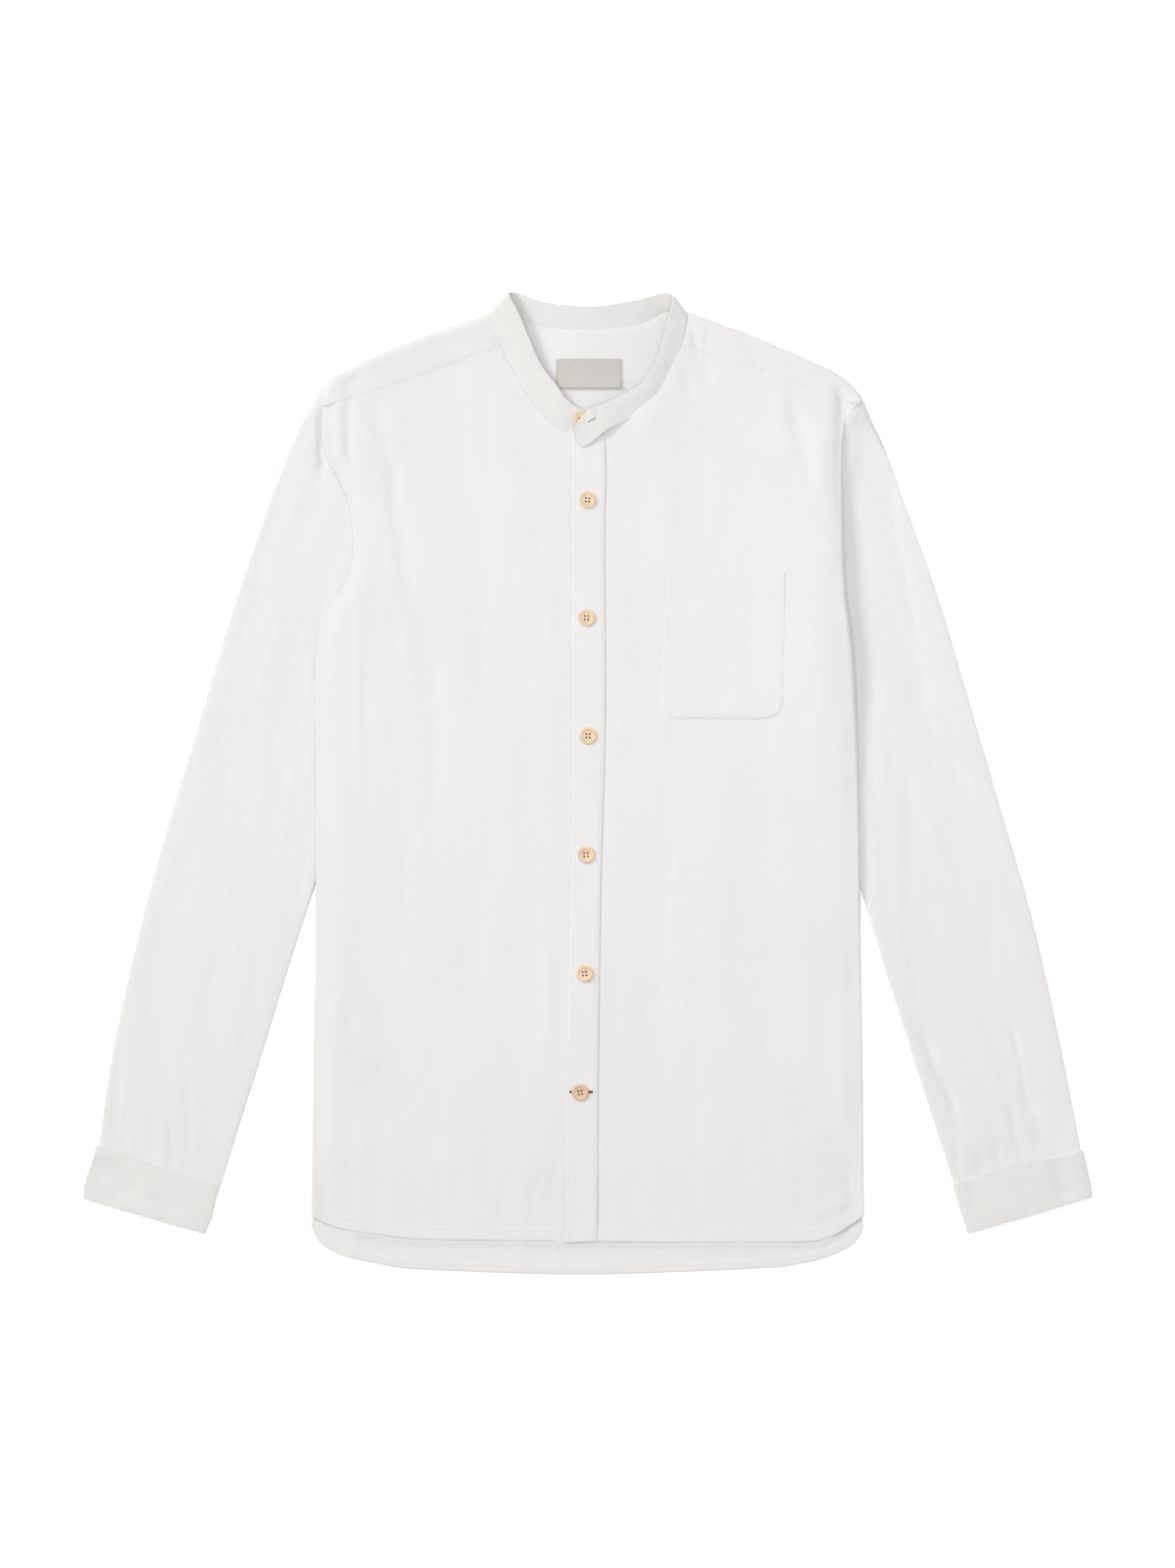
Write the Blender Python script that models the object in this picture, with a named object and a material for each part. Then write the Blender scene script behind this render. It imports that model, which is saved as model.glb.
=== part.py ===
"""Mandarin collar shirt, buttoned and laid flat with its front up.

Every cut piece is its own closed wall of cloth. All sizes are millimetres until they are
scaled to metres by MM. +X is the wearer's left side, +Y points to the collar, and +Z points up
from the surface that the shirt lies on. The origin is on that surface under the shirt's middle.
"""
import math
from collections import namedtuple

import bmesh
import bpy
from mathutils import Vector

MM = 0.001

# Cloth
CLOTH = 1.2              # one layer of shirting
BAND_WALL = 1.8          # collar band: two layers and an interlining
CUFF_WALL = 1.6          # cuff: two layers and an interlining
LABEL_WALL = 0.8         # woven label in the neck
GAP = 0.4                # clearance between neighbouring pieces
LAY = 0.6                # clearance under a piece that lies on a soft panel
SEAM_LAP = 1.1           # how far the yoke and back stop short of a curved seam
ARMHOLE_GAP = 1.7        # clearance between the flat back of the shirt and a sleeve
EDGE_RADIUS = 3.0        # turned edges of the fronts
SLEEVE_EDGE_FULLNESS = 1.25   # how square a sleeve's pressed folds are
SLEEVE_EDGE_SHAPE = 0.45
CAP_SHAPE = 0.4          # how steeply a sleeve's cap leaves its folds

# Heights of the upper face of the closed front above the surface below the shirt
BODY_HEIGHT = 5.0        # down the middle, over the back panel
SLEEVE_RISE = 4.4        # more at the sides, where the front lies over a sleeve
RIGHT_EDGE_RISE = 2.4    # more again along the wearer's left edge, which stands off its sleeve
SHOULDER_RISE = 3.0
NECK_RISE = 3.0

# Where each of those rises begins and is full
SIDE_RISE_X = (130, 188)
SIDE_RISE_Y = (-150, -75)
RIGHT_EDGE_X = (160, 204)
RIGHT_EDGE_Y = (-120, -60)
RIGHT_EDGE_TOP_Y = (312, 280)
SHOULDER_RISE_Y = (340, 400)
SHOULDER_SLOPE = 0.42
NECK_CENTRE_Y = 340.0
NECK_RISE_REACH = (120, 56)

# Buttons
BUTTON_RADIUS = 6.8
BUTTON_STEPS = 16
BUTTON_LIFT = 0.9        # clearance between a button and the placket
BUTTON_BASE = 6.0
BUTTON_RIM = 5.8
BUTTON_WELL = 4.6
BUTTON_WELL_HEIGHT = 2.4
BUTTON_HEIGHT = 3.0
COLLAR_BUTTON = (-4.6, 296.0, 9.2)

# Pocket, label and yoke
POCKET_TOP = 172.0
POCKET_BOTTOM = 52.0
POCKET_CORNER = 14.0
LABEL_LEFT, LABEL_RIGHT = -25.5, 27.5
LABEL_TOP, LABEL_BOTTOM = 345.5, 321.5
YOKE_BACK_SEAM = 262.0
UNDERARM_SHARE = 0.4     # share of the sleeve's length that has the body beside its inner fold

# The hidden front: its edge under the closed placket, and where it steps down below it
UNDER_EDGE_X = 12.0
UNDER_STEP_X = (-36, -14)

SHIRTING_COLOUR = (0.83, 0.82, 0.79)
LABEL_COLOUR = (0.62, 0.60, 0.56)
BUTTON_COLOUR = (0.78, 0.58, 0.40)

Point = namedtuple("Point", "x y")
Ring = namedtuple("Ring", "outer_x outer_y inner_x inner_y height crown bow cap")
Fold = namedtuple("Fold", "x0 y0 x1 y1 width rise")
Station = namedtuple("Station", "seam_x seam_y seam_z top_x top_y top_z")
Side = namedtuple("Side", "name sign shoulder yoke_seam neck front_side sleeve cuff")

# Shoulder folds and front yoke seams, from the neck out to the armhole
SHOULDER_RIGHT = [Point(*row) for row in (
    (82.6, 383.6), (107, 374.8), (131, 366.2), (173, 348), (200, 336), (212, 327), (223.6, 315))]
SHOULDER_LEFT = [Point(*row) for row in (
    (-82.6, 383.6), (-107, 374.4), (-132, 366), (-154, 357), (-180, 346.5), (-204, 334))]
YOKE_SEAM_RIGHT = [Point(*row) for row in ((74.6, 356.5), (120, 342.5), (168, 326), (219, 308))]
YOKE_SEAM_LEFT = [Point(*row) for row in ((-68.6, 356.5), (-96, 347.5), (-127, 334.5), (-216, 306))]

# Where the collar band joins, from the centre front up to the yoke seam, and across the back
NECK_RIGHT = [Point(*row) for row in (
    (-11.5, 279.2), (4, 280), (17, 286.6), (31.6, 295.4), (48.8, 305.4), (60.8, 317.4),
    (69.4, 336), (74.6, 354.4))]
NECK_LEFT = [Point(*row) for row in (
    (12, 282.4), (-2, 283), (-12, 285), (-27.2, 292), (-43, 309.4), (-57, 331.8), (-68.6, 354.4))]
NECK_BACK = [Point(*row) for row in (
    (-82.6, 379), (-74, 382.4), (-63, 382), (-51, 374.6), (-35, 369.6), (0, 367.6),
    (32, 369.8), (50, 374.6), (63, 382), (74, 382.4), (82.6, 379))]

# Outer edges of the two fronts, from the armhole down to the hem
FRONT_SIDE_RIGHT = [Point(*row) for row in (
    (217, 307.5), (212, 297), (208.8, 285), (207.6, 255), (208.2, 200), (209.8, 158), (214.2, 122),
    (217.4, 85), (219.4, 45), (221, 0), (221.6, -45), (222, -85), (224.4, -240), (225.4, -352))]
FRONT_SIDE_LEFT = [Point(*row) for row in (
    (-214.5, 305.5), (-217, 288), (-211, 262), (-200, 238), (-194, 210), (-194, 182), (-199, 163),
    (-208, 146), (-216.4, 128), (-220.8, 106), (-221.4, 60), (-221.4, -85), (-224.2, -240),
    (-225.4, -352))]

# Hems: the front's is the shorter, the back's tail hangs below it
FRONT_HEM = [Point(*row) for row in (
    (-225.4, -354), (-210, -361), (-195, -365), (-172, -368), (-135, -372), (-18, -373.5),
    (80, -374.5), (178, -374), (195, -371), (208, -365.5), (225.4, -353.5))]
BACK_HEM = [Point(*row) for row in (
    (-225.4, -361), (-222.4, -369.6), (-216.4, -377.2), (-206, -383.6), (-191, -388), (-172, -392),
    (-135, -397), (0, -401), (140, -396), (171, -392.6), (192, -388), (209.6, -380.8),
    (220.4, -372.6), (225.4, -362))]

# The placket's two edges and the buttons along it
PLACKET_INNER = [Point(*row) for row in (
    (14, 284), (14.8, 247), (13.8, 205), (14.2, 48), (10.8, -80), (8.6, -235), (8, -374.2))]
PLACKET_FREE = [Point(*row) for row in (
    (-12.5, 277.5), (-12.6, 205), (-12.4, 48), (-13.2, -80), (-17, -235), (-18, -375))]
BUTTONS = [Point(*row) for row in (
    (0, 230.4), (-0.8, 134.4), (0.4, 38.4), (-1.2, -58.4), (-2.4, -155.2), (-6.0, -252.0))]
POCKET_INNER_EDGE = [Point(*row) for row in ((66, POCKET_TOP), (62, 110), (61, POCKET_BOTTOM))]
POCKET_OUTER_EDGE = [Point(*row) for row in ((160.4, POCKET_TOP), (159.6, 111),
                                             (158.6, POCKET_BOTTOM))]

# Sleeves: a ring for each row, from the armhole down to the cuff seam. The outer edge is the
# sleeve's fold away from the body. The bow curves a ring's under layer towards the body, as an
# armhole does, and the cap does so for its upper layer.
SLEEVE_RIGHT = [Ring(*row) for row in (
    (225, 311, 170, 79, 4.4, 0.2, 9, 13),
    (232.4, 294, 177, 57, 4.4, 0.3, 6, 9),
    (241.4, 275.5, 188, 22, 4.4, 0.5, 3, 5),
    (259.4, 226, 205, -29, 4.5, 0.8, 0, 0),
    (284.8, 155, 222.4, -84.8, 4.6, 1.2, 0, 0),
    (311, 68, 233.4, -121, 4.8, 1.6, 0, 0),
    (336.6, -20, 247, -166.4, 5.0, 1.6, 0, 0),
    (358.6, -95, 260.3, -208, 5.0, 1.6, 0, 0),
    (377.6, -175, 273.6, -249.6, 5.0, 1.6, 0, 0),
    (391.2, -241, 285.4, -286, 5.0, 1.4, 0, 0),
    (402.4, -299.4, 298.2, -325.8, 5.0, 1.0, 0, 0))]
SLEEVE_LEFT = [Ring(*row) for row in (
    (-206, 333, -173, 79, 4.4, 0.2, 9, 13),
    (-223, 315.4, -179, 58, 4.4, 0.3, 6, 9),
    (-241, 278, -190, 22, 4.4, 0.5, 3, 5),
    (-264.6, 214, -205, -27, 4.5, 0.8, 0, 0),
    (-292.6, 131, -222.8, -85, 4.6, 1.2, 0, 0),
    (-320.6, 38, -236.4, -127, 4.8, 1.6, 0, 0),
    (-345.6, -46, -252.2, -178, 5.0, 1.6, 0, 0),
    (-363, -110.4, -264.2, -217, 5.0, 1.6, 0, 0),
    (-380.4, -185, -278.7, -263, 5.0, 1.6, 0, 0),
    (-391.2, -242, -289.8, -298, 5.0, 1.4, 0, 0),
    (-397.4, -295.6, -299.2, -327.6, 5.0, 1.0, 0, 0))]
CUFF_RIGHT = [Ring(*row) for row in (
    (404.4, -299.6, 297.6, -326.6, 6.0, 0.6, 0, 0),
    (407.4, -313, 301.2, -340, 6.0, 0.4, 0, 0),
    (409.8, -323, 304.8, -352, 6.0, 0.4, 0, 0),
    (412, -337.2, 310, -367.4, 6.0, 0.6, 0, 0))]
CUFF_LEFT = [Ring(*row) for row in (
    (-400.6, -295.2, -299.6, -328, 6.0, 0.6, 0, 0),
    (-405, -310, -303.2, -341, 6.0, 0.4, 0, 0),
    (-410, -324, -306.4, -354, 6.0, 0.4, 0, 0),
    (-411.8, -338.6, -312, -367.4, 6.0, 0.6, 0, 0))]

# Large soft folds in the upper cloth: a ridge where the rise is above zero, else a trough
FOLDS = [Fold(*row) for row in (
    (-178, 305, -160, 205, 9, 1.8),
    (-160, 205, -140, 120, 12, 2.0),
    (-140, 120, -128, -60, 15, 1.4),
    (-197, 318, -196, 262, 6, 1.6),
    (-215, 312, -219, 268, 6, 1.4),
    (-218, 165, -222, 95, 12, 1.2),
    (-205, -170, -190, -330, 20, 1.0),
    (158, 318, 172, 262, 9, 1.6),
    (90, 376, 94, 345, 6, 1.2),
    (226, 296, 245, 225, 6, 1.2),
    (245, 225, 262, 60, 10, 1.4),
    (250, -40, 288, -200, 12, 1.2),
    (352, -225, 362, -296, 7, 1.6),
    (328, -262, 334, -312, 7, 1.2),
    (-352, -255, -356, -306, 8, 1.2),
    (198, -120, 194, -290, 10, -0.8))]

# The collar band from its buttoned-under end, round the back of the neck, to its top end
BAND = [Station(*row) for row in (
    (5.2, 281.8, 7.0, 8.6, 301.5, 6.6),
    (-12.4, 284.6, 7.6, -5.2, 304.6, 7.4),
    (-27.8, 291.2, 9.0, -17.2, 312.8, 10.8),
    (-43.8, 308.8, 9.5, -25.2, 324, 14.4),
    (-58, 331.2, 9.9, -38, 341, 18.4),
    (-69.4, 353.6, 10.3, -47.6, 362.4, 20.4),
    (-78, 371.2, 10.2, -55.6, 381.6, 21.6),
    (-80.6, 381.8, 8.4, -63.4, 397.0, 21.6),
    (-75, 384.8, 5.0, -60.6, 399.2, 19.8),
    (-64, 381.6, 2.9, -55.0, 398.8, 17.8),
    (-51, 373.6, 2.6, -48, 396, 16.6),
    (-34.8, 368.6, 2.6, -31.6, 391, 15.8),
    (0.4, 366.8, 2.6, 2.4, 388, 15.6),
    (32.4, 369, 2.6, 33, 392, 15.8),
    (50, 373.6, 2.6, 49.6, 396, 16.6),
    (64, 381.6, 2.9, 60.2, 398.9, 17.9),
    (75, 384.8, 5.0, 66.4, 398.8, 19.9),
    (80.6, 381.8, 8.4, 69.6, 395.0, 22.6),
    (79.4, 369.6, 10.0, 66.8, 381.6, 26.0),
    (75.4, 352.8, 10.2, 62, 363.2, 26.4),
    (70, 336, 10.2, 54.8, 341, 26.0),
    (61.4, 317, 10.0, 45.2, 326.4, 24.4),
    (49.4, 304.6, 9.8, 34, 319, 21.4),
    (32, 295, 10.2, 20, 312, 18.2),
    (16.4, 287.4, 11.8, 9.0, 306.8, 15.6),
    (5.0, 278.2, 13.0, 0.6, 303.6, 14.4),
    (-2.5, 273.8, 13.4, -5.3, 297.4, 14.1),
    (-6.6, 274.4, 13.5, -9.2, 291.8, 13.9),
    (-9.8, 278.0, 13.6, -11.0, 287.0, 13.8))]

LEFT = Side("left", -1, SHOULDER_LEFT, YOKE_SEAM_LEFT, NECK_LEFT, FRONT_SIDE_LEFT,
            SLEEVE_LEFT, CUFF_LEFT)
RIGHT = Side("right", 1, SHOULDER_RIGHT, YOKE_SEAM_RIGHT, NECK_RIGHT, FRONT_SIDE_RIGHT,
             SLEEVE_RIGHT, CUFF_RIGHT)


# ---------------------------------------------------------------- lines and heights

def lerp(start, end, share):
    """Value at a share of the way from start to end."""
    return start + (end - start) * share


def fade(value, start, end):
    """Smooth step from 0 at start to 1 at end."""
    share = min(max((value - start) / (end - start), 0.0), 1.0)
    return share * share * (3.0 - 2.0 * share)


def along(rows, share):
    """Row at a share of a smooth line through a table's rows."""
    spans = len(rows) - 1
    place = min(max(share, 0.0), 1.0) * spans
    span = min(int(place), spans - 1)
    t = place - span
    before, start, end, after = (rows[min(max(span + k, 0), spans)] for k in (-1, 0, 1, 2))
    return type(start)(*(
        0.5 * (2 * b + (c - a) * t + (2 * a - 5 * b + 4 * c - d) * t ** 2
               + (3 * b - a - 3 * c + d) * t ** 3)
        for a, b, c, d in zip(before, start, end, after)))


def line_through(rows, column):
    """Points on a smooth line through rows, sorted by one column."""
    steps = 12 * (len(rows) - 1)
    return sorted((along(rows, k / steps) for k in range(steps + 1)),
                  key=lambda point: point[column])


def read_line(line, value, column):
    """The other coordinate of a sorted line, where the column has the value."""
    if value <= line[0][column]:
        return line[0][1 - column]
    for low, high in zip(line, line[1:]):
        if value <= high[column]:
            reach = high[column] - low[column]
            share = (value - low[column]) / reach if reach else 0.0
            return lerp(low[1 - column], high[1 - column], share)
    return line[-1][1 - column]


def x_at(line, y):
    """X of a line that was sorted by y."""
    return read_line(line, y, 1)


def y_at(line, x):
    """Y of a line that was sorted by x."""
    return read_line(line, x, 0)


def fold_height(x, y):
    """Rise of the large soft folds at a point."""
    total = 0.0
    for fold in FOLDS:
        run = Vector((fold.x1 - fold.x0, fold.y1 - fold.y0))
        offset = Vector((x - fold.x0, y - fold.y0))
        share = min(max(offset.dot(run) / run.length_squared, 0.0), 1.0)
        distance = (offset - run * share).length / fold.width
        total += fold.rise * math.exp(-distance * distance)
    return total


def front_height(x, y):
    """Height of the upper face of the closed front and of the yoke's front part."""
    half = abs(x)
    side = SLEEVE_RISE * fade(half, *SIDE_RISE_X) * fade(y, *SIDE_RISE_Y)
    if x > 0:
        along_edge = fade(y, *RIGHT_EDGE_Y) * fade(y, *RIGHT_EDGE_TOP_Y)
        side += RIGHT_EDGE_RISE * fade(half, *RIGHT_EDGE_X) * along_edge
    shoulder = SHOULDER_RISE * fade(y + SHOULDER_SLOPE * half, *SHOULDER_RISE_Y)
    neck = NECK_RISE * fade(math.hypot(x, y - NECK_CENTRE_Y), *NECK_RISE_REACH)
    return BODY_HEIGHT + math.hypot(side, shoulder, neck) + fold_height(x, y)


def turned_edge(distance, radius):
    """Drop of a turned edge at a distance in from its outline."""
    if distance >= radius:
        return 0.0
    inside = radius - max(distance, 0.0)
    return radius - math.sqrt(radius ** 2 - inside ** 2)


def even_steps(start, end, count):
    """Evenly spaced values from start to end, both ends included."""
    return [lerp(start, end, k / count) for k in range(count + 1)]


# ---------------------------------------------------------------- building

def clear_scene():
    """Remove the objects that a new file starts with."""
    for item in list(bpy.data.objects):
        bpy.data.objects.remove(item)


def finish(name, colour, roughness):
    """A plain material."""
    material = bpy.data.materials.new(name)
    material.use_nodes = True
    shader = material.node_tree.nodes["Principled BSDF"]
    shader.inputs["Base Color"].default_value = (*colour, 1.0)
    shader.inputs["Roughness"].default_value = roughness
    shader.inputs["Metallic"].default_value = 0.0
    return material


def add_object(name, shape, material):
    """Make one named object of a bmesh."""
    mesh = bpy.data.meshes.new(name)
    shape.to_mesh(mesh)
    shape.free()
    mesh.materials.append(material)
    mesh.shade_smooth()
    mesh.set_sharp_from_angle(angle=math.radians(50))
    item = bpy.data.objects.new(name, mesh)
    bpy.context.collection.objects.link(item)
    return item


def cloth_wall(name, place, columns, rows, wall, material, keep=None, tube=False, flip=False,
               outside=0.0):
    """One piece of cloth: its outer face is placed by a function, and its wall grows inwards.

    columns and rows are the values that place(column, row) is read at. A tube's first and last
    columns are the same line. keep(column, row) says which parts of the grid are cloth.
    """
    shape = bmesh.new()
    bmesh.ops.create_grid(shape, x_segments=len(columns) - 1, y_segments=len(rows) - 1, size=0.5)

    def values(point):
        column = (point.x + 0.5) * (len(columns) - 1)
        row = (point.y + 0.5) * (len(rows) - 1)
        return column, row

    if keep:
        cut_away = []
        for face in shape.faces:
            column, row = (int(value) for value in values(face.calc_center_median()))
            middle = (columns[column] + columns[column + 1]) / 2
            if not keep(middle, (rows[row] + rows[row + 1]) / 2):
                cut_away.append(face)
        bmesh.ops.delete(shape, geom=cut_away, context="FACES")
    for vert in shape.verts:
        column, row = (round(value) for value in values(vert.co))
        vert.co = Vector(place(columns[column], rows[row])) * MM
    if tube:
        bmesh.ops.remove_doubles(shape, verts=shape.verts, dist=0.00001)
    if flip:
        bmesh.ops.reverse_faces(shape, faces=shape.faces)
    shape.normal_update()
    if outside:
        for vert in shape.verts:
            vert.co += vert.normal * outside * MM
    bmesh.ops.solidify(shape, geom=shape.faces, thickness=wall * MM)
    return add_object(name, shape, material)


def build_front(name, side, centre_line, under, cloth):
    """A front, from its centre edge out to its turned side edge."""
    sign = side.sign
    neck = line_through(side.neck, 0)
    seam = line_through(side.yoke_seam, 0)
    side_edge = line_through(side.front_side, 1)
    hem = line_through(FRONT_HEM, 0)
    centre = line_through(centre_line, 1)
    centre_top = side.neck[0].x
    corner = side.neck[-1].x
    side_top = side.front_side[0]
    span = side_top.x - centre_top
    width = abs(span)
    turn = [EDGE_RADIUS * (1 - math.cos(math.radians(angle))) / width for angle in (90, 60, 30, 0)]
    corner_share = (corner - centre_top) / span
    neck_columns = [(along(side.neck, share).x - centre_top) / span
                    for share in even_steps(0.0, 1.0, 7)]
    columns = (neck_columns + even_steps(corner_share, 0.94, 8)[1:]
               + [1.0 - share for share in turn])
    rows = [1.0 - row for row in even_steps(0.0, 1.0, 24)]

    def place(column, row):
        top_x = centre_top + span * column
        in_neck = abs(top_x - centre_top) < abs(corner - centre_top)
        top_y = y_at(neck, top_x) if in_neck else y_at(seam, top_x)
        if sign * top_x > sign * side_top.x:
            top_y = side_top.y
        bottom_x = lerp(centre[0].x, side_edge[0].x, column)
        bottom_y = y_at(hem, bottom_x)
        y = lerp(bottom_y, top_y, row)
        inner_x = x_at(centre, y)
        outer_x = x_at(side_edge, y)
        x = lerp(inner_x, outer_x, column)
        drop = turned_edge(abs(outer_x - x), EDGE_RADIUS)
        lap = under * fade(x, *UNDER_STEP_X)
        return x, y, max(front_height(x, y) - lap - drop, CLOTH + LAY)

    if sign < 0:
        columns = columns[::-1]
    rows = rows[::-1]
    return cloth_wall(name, place, columns, rows, CLOTH, cloth)


def ring_point(ring, sign, share, upper=False):
    """Plan point of a ring at a share of the way from its outer to its inner edge."""
    swell = max(math.sin(math.pi * share), 0.0)
    reach = ring.cap * swell ** CAP_SHAPE if upper else ring.bow * swell
    outer = Vector((ring.outer_x, ring.outer_y))
    inner = Vector((ring.inner_x, ring.inner_y))
    run = inner - outer
    towards_body = Vector((run.y, -run.x)).normalized() * sign
    return outer + run * share + towards_body * reach


def build_tube(name, side, rings, steps, wall, material):
    """A flattened tube, flat below and softly crowned above, through a table's rings."""
    over = even_steps(0.0, math.pi, 16)
    beneath = even_steps(math.pi, 2 * math.pi, 6)[1:]
    columns = over + beneath
    rows = even_steps(0.0, 1.0, steps)

    def place(angle, share):
        ring = along(rings, share)
        across = (1.0 - math.cos(angle)) / 2.0
        swell = math.sin(angle)
        flat = min(1.0, SLEEVE_EDGE_FULLNESS * abs(swell) ** SLEEVE_EDGE_SHAPE)
        upper = 0.0 < angle < math.pi
        point = ring_point(ring, side.sign, across, upper)
        middle = ring.height / 2.0
        if upper:
            z = middle + middle * flat + ring.crown * swell ** 2
            z += fold_height(point.x, point.y) * swell
        else:
            z = middle - middle * flat
        return point.x, point.y, max(z, 0.0)

    return cloth_wall(name, place, columns, rows, wall, material, tube=True,
                      flip=side.sign < 0)


def build_back(cloth):
    """The back panel, flat on the surface, with its longer tail."""
    hem = line_through(BACK_HEM, 0)
    edges = {}
    for side in (LEFT, RIGHT):
        folds = [along(side.sleeve, share) for share in even_steps(0.0, UNDERARM_SHARE, 16)]
        sleeve = [Point(ring.inner_x, ring.inner_y) for ring in folds]
        flank = [point for point in side.front_side if point.y < folds[-1].inner_y - 1.0]
        path = [Point(point.x - side.sign * ARMHOLE_GAP, point.y)
                for point in armhole_line(side) + sleeve]
        path += flank + [BACK_HEM[0 if side.sign < 0 else -1]]
        edges[side.sign] = sorted(path, key=lambda point: point.y)
    corner = [-1.0, -0.985, -0.95, -0.88, -0.76]
    columns = corner + even_steps(-0.5, 0.5, 4) + [-share for share in reversed(corner)]
    rows = even_steps(0.0, 1.0, 26)
    top = YOKE_BACK_SEAM - GAP

    def place(column, row):
        edge = edges[1 if column > 0 else -1]
        y = lerp(y_at(hem, abs(column) * x_at(edge, edge[0].y)), top, row)
        x = abs(column) * x_at(edge, y)
        return x, max(y, y_at(hem, x)) if row == 0.0 else y, 0.0

    return cloth_wall("back", place, columns, rows, CLOTH, cloth, flip=True)


def build_yoke(cloth):
    """The yoke: flat under the neck, turned over both shoulders, down to the front seams."""
    neck = line_through(NECK_BACK, 0)
    rows = even_steps(0.0, 1.0, 4) + even_steps(1.0, 2.0, 4)[1:] + even_steps(2.0, 3.0, 3)[1:]
    columns = even_steps(-2.0, -1.0, 7) + even_steps(-1.0, 1.0, 12)[1:] + even_steps(1.0, 2.0, 7)[1:]
    lines = {side.sign: (line_through(side.shoulder, 0), line_through(side.yoke_seam, 0))
             for side in (LEFT, RIGHT)}
    armholes = {side.sign: armhole_line(side) for side in (LEFT, RIGHT)}

    def place(column, row):
        side = RIGHT if column > 0 else LEFT
        shoulder, seam = lines[side.sign]
        reach = max(abs(column) - 1.0, 0.0)
        fold_x = lerp(side.shoulder[0].x, side.shoulder[-1].x, reach)
        seam_x = lerp(side.yoke_seam[0].x, side.yoke_seam[-1].x, reach)
        fold_y = y_at(shoulder, fold_x)
        radius = front_height(fold_x, fold_y - EDGE_RADIUS) / 2.0
        if row <= 1.0 and abs(column) < 1.0:
            x = abs(column) * side.shoulder[0].x
            return x, lerp(YOKE_BACK_SEAM, y_at(neck, x), row), 0.0
        if row <= 1.0:
            y = lerp(YOKE_BACK_SEAM, fold_y - radius, row)
            edge = x_at(armholes[side.sign], y) - side.sign * ARMHOLE_GAP
            return lerp(side.shoulder[0].x, edge, reach), y, 0.0
        if row <= 2.0:
            angle = math.pi * (row - 1.0)
            z = radius * (1.0 - math.cos(angle))
            return fold_x, fold_y - radius * (1.0 - math.sin(angle)), z
        share = row - 2.0
        x = lerp(fold_x, seam_x, share)
        y = lerp(fold_y - radius, y_at(seam, seam_x) + SEAM_LAP, share)
        blend = fade(share, 0.0, 0.6)
        return x, y, lerp(2.0 * radius, front_height(x, y), blend)

    def keep(column, row):
        return abs(column) > 1.0 or row < 1.0

    return cloth_wall("yoke", place, columns, rows, CLOTH, cloth, keep=keep, flip=True)


def armhole_line(side):
    """Plan points on the armhole where the sleeve joins, sorted by y."""
    mouth = [ring_point(side.sleeve[0], side.sign, share) for share in even_steps(0.0, 1.0, 40)]
    return sorted((Point(point.x, point.y) for point in mouth), key=lambda point: point.y)


def build_band(cloth):
    """The standing collar band with its free tab end."""
    columns = even_steps(0.0, 1.0, 64)
    rows = even_steps(0.0, 1.0, 4)

    def place(column, row):
        station = along(BAND, column)
        x = lerp(station.seam_x, station.top_x, row)
        y = lerp(station.seam_y, station.top_y, row)
        return x, y, lerp(station.seam_z, station.top_z, row)

    return cloth_wall("collar_band", place, columns, rows, BAND_WALL, cloth,
                      outside=BAND_WALL / 2.0)


def build_placket(cloth):
    """The buttonhole strip, laid on the overlapping front and a gap above it."""
    free = line_through(PLACKET_FREE, 1)
    inner = line_through(PLACKET_INNER, 1)
    rows = even_steps(0.0, 1.0, 26)
    columns = even_steps(0.0, 1.0, 4)

    def place(column, row):
        y = lerp(lerp(free[0].y, inner[0].y, column), lerp(free[-1].y, inner[-1].y, column), row)
        x = lerp(x_at(free, y), x_at(inner, y), column)
        return x, y, front_height(x, y) + LAY + CLOTH

    return cloth_wall("placket", place, columns, rows, CLOTH, cloth)


def build_pocket(cloth):
    """The chest patch pocket with its rounded lower corners."""
    inner = line_through(POCKET_INNER_EDGE, 1)
    outer = line_through(POCKET_OUTER_EDGE, 1)
    columns = [0.0, 0.03, 0.08, 0.15, 0.33, 0.5, 0.67, 0.85, 0.92, 0.97, 1.0]
    rows = even_steps(0.0, 1.0, 8)

    def place(column, row):
        left, right = inner[0].x, outer[0].x
        edge = min(column, 1.0 - column) * (right - left)
        cut = turned_edge(edge, POCKET_CORNER)
        y = lerp(POCKET_BOTTOM + cut, POCKET_TOP, row)
        x = lerp(x_at(inner, y), x_at(outer, y), column)
        return x, y, front_height(x, y) + LAY + CLOTH

    return cloth_wall("pocket", place, columns, rows, CLOTH, cloth)


def build_label(cloth):
    """The plain woven label on the yoke's inner face."""
    def place(column, row):
        x = lerp(LABEL_LEFT, LABEL_RIGHT, column)
        y = lerp(LABEL_BOTTOM, LABEL_TOP, row)
        return x, y, CLOTH + GAP + LABEL_WALL

    steps = even_steps(0.0, 1.0, 2)
    return cloth_wall("neck_label", place, steps, steps, LABEL_WALL, cloth)


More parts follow.
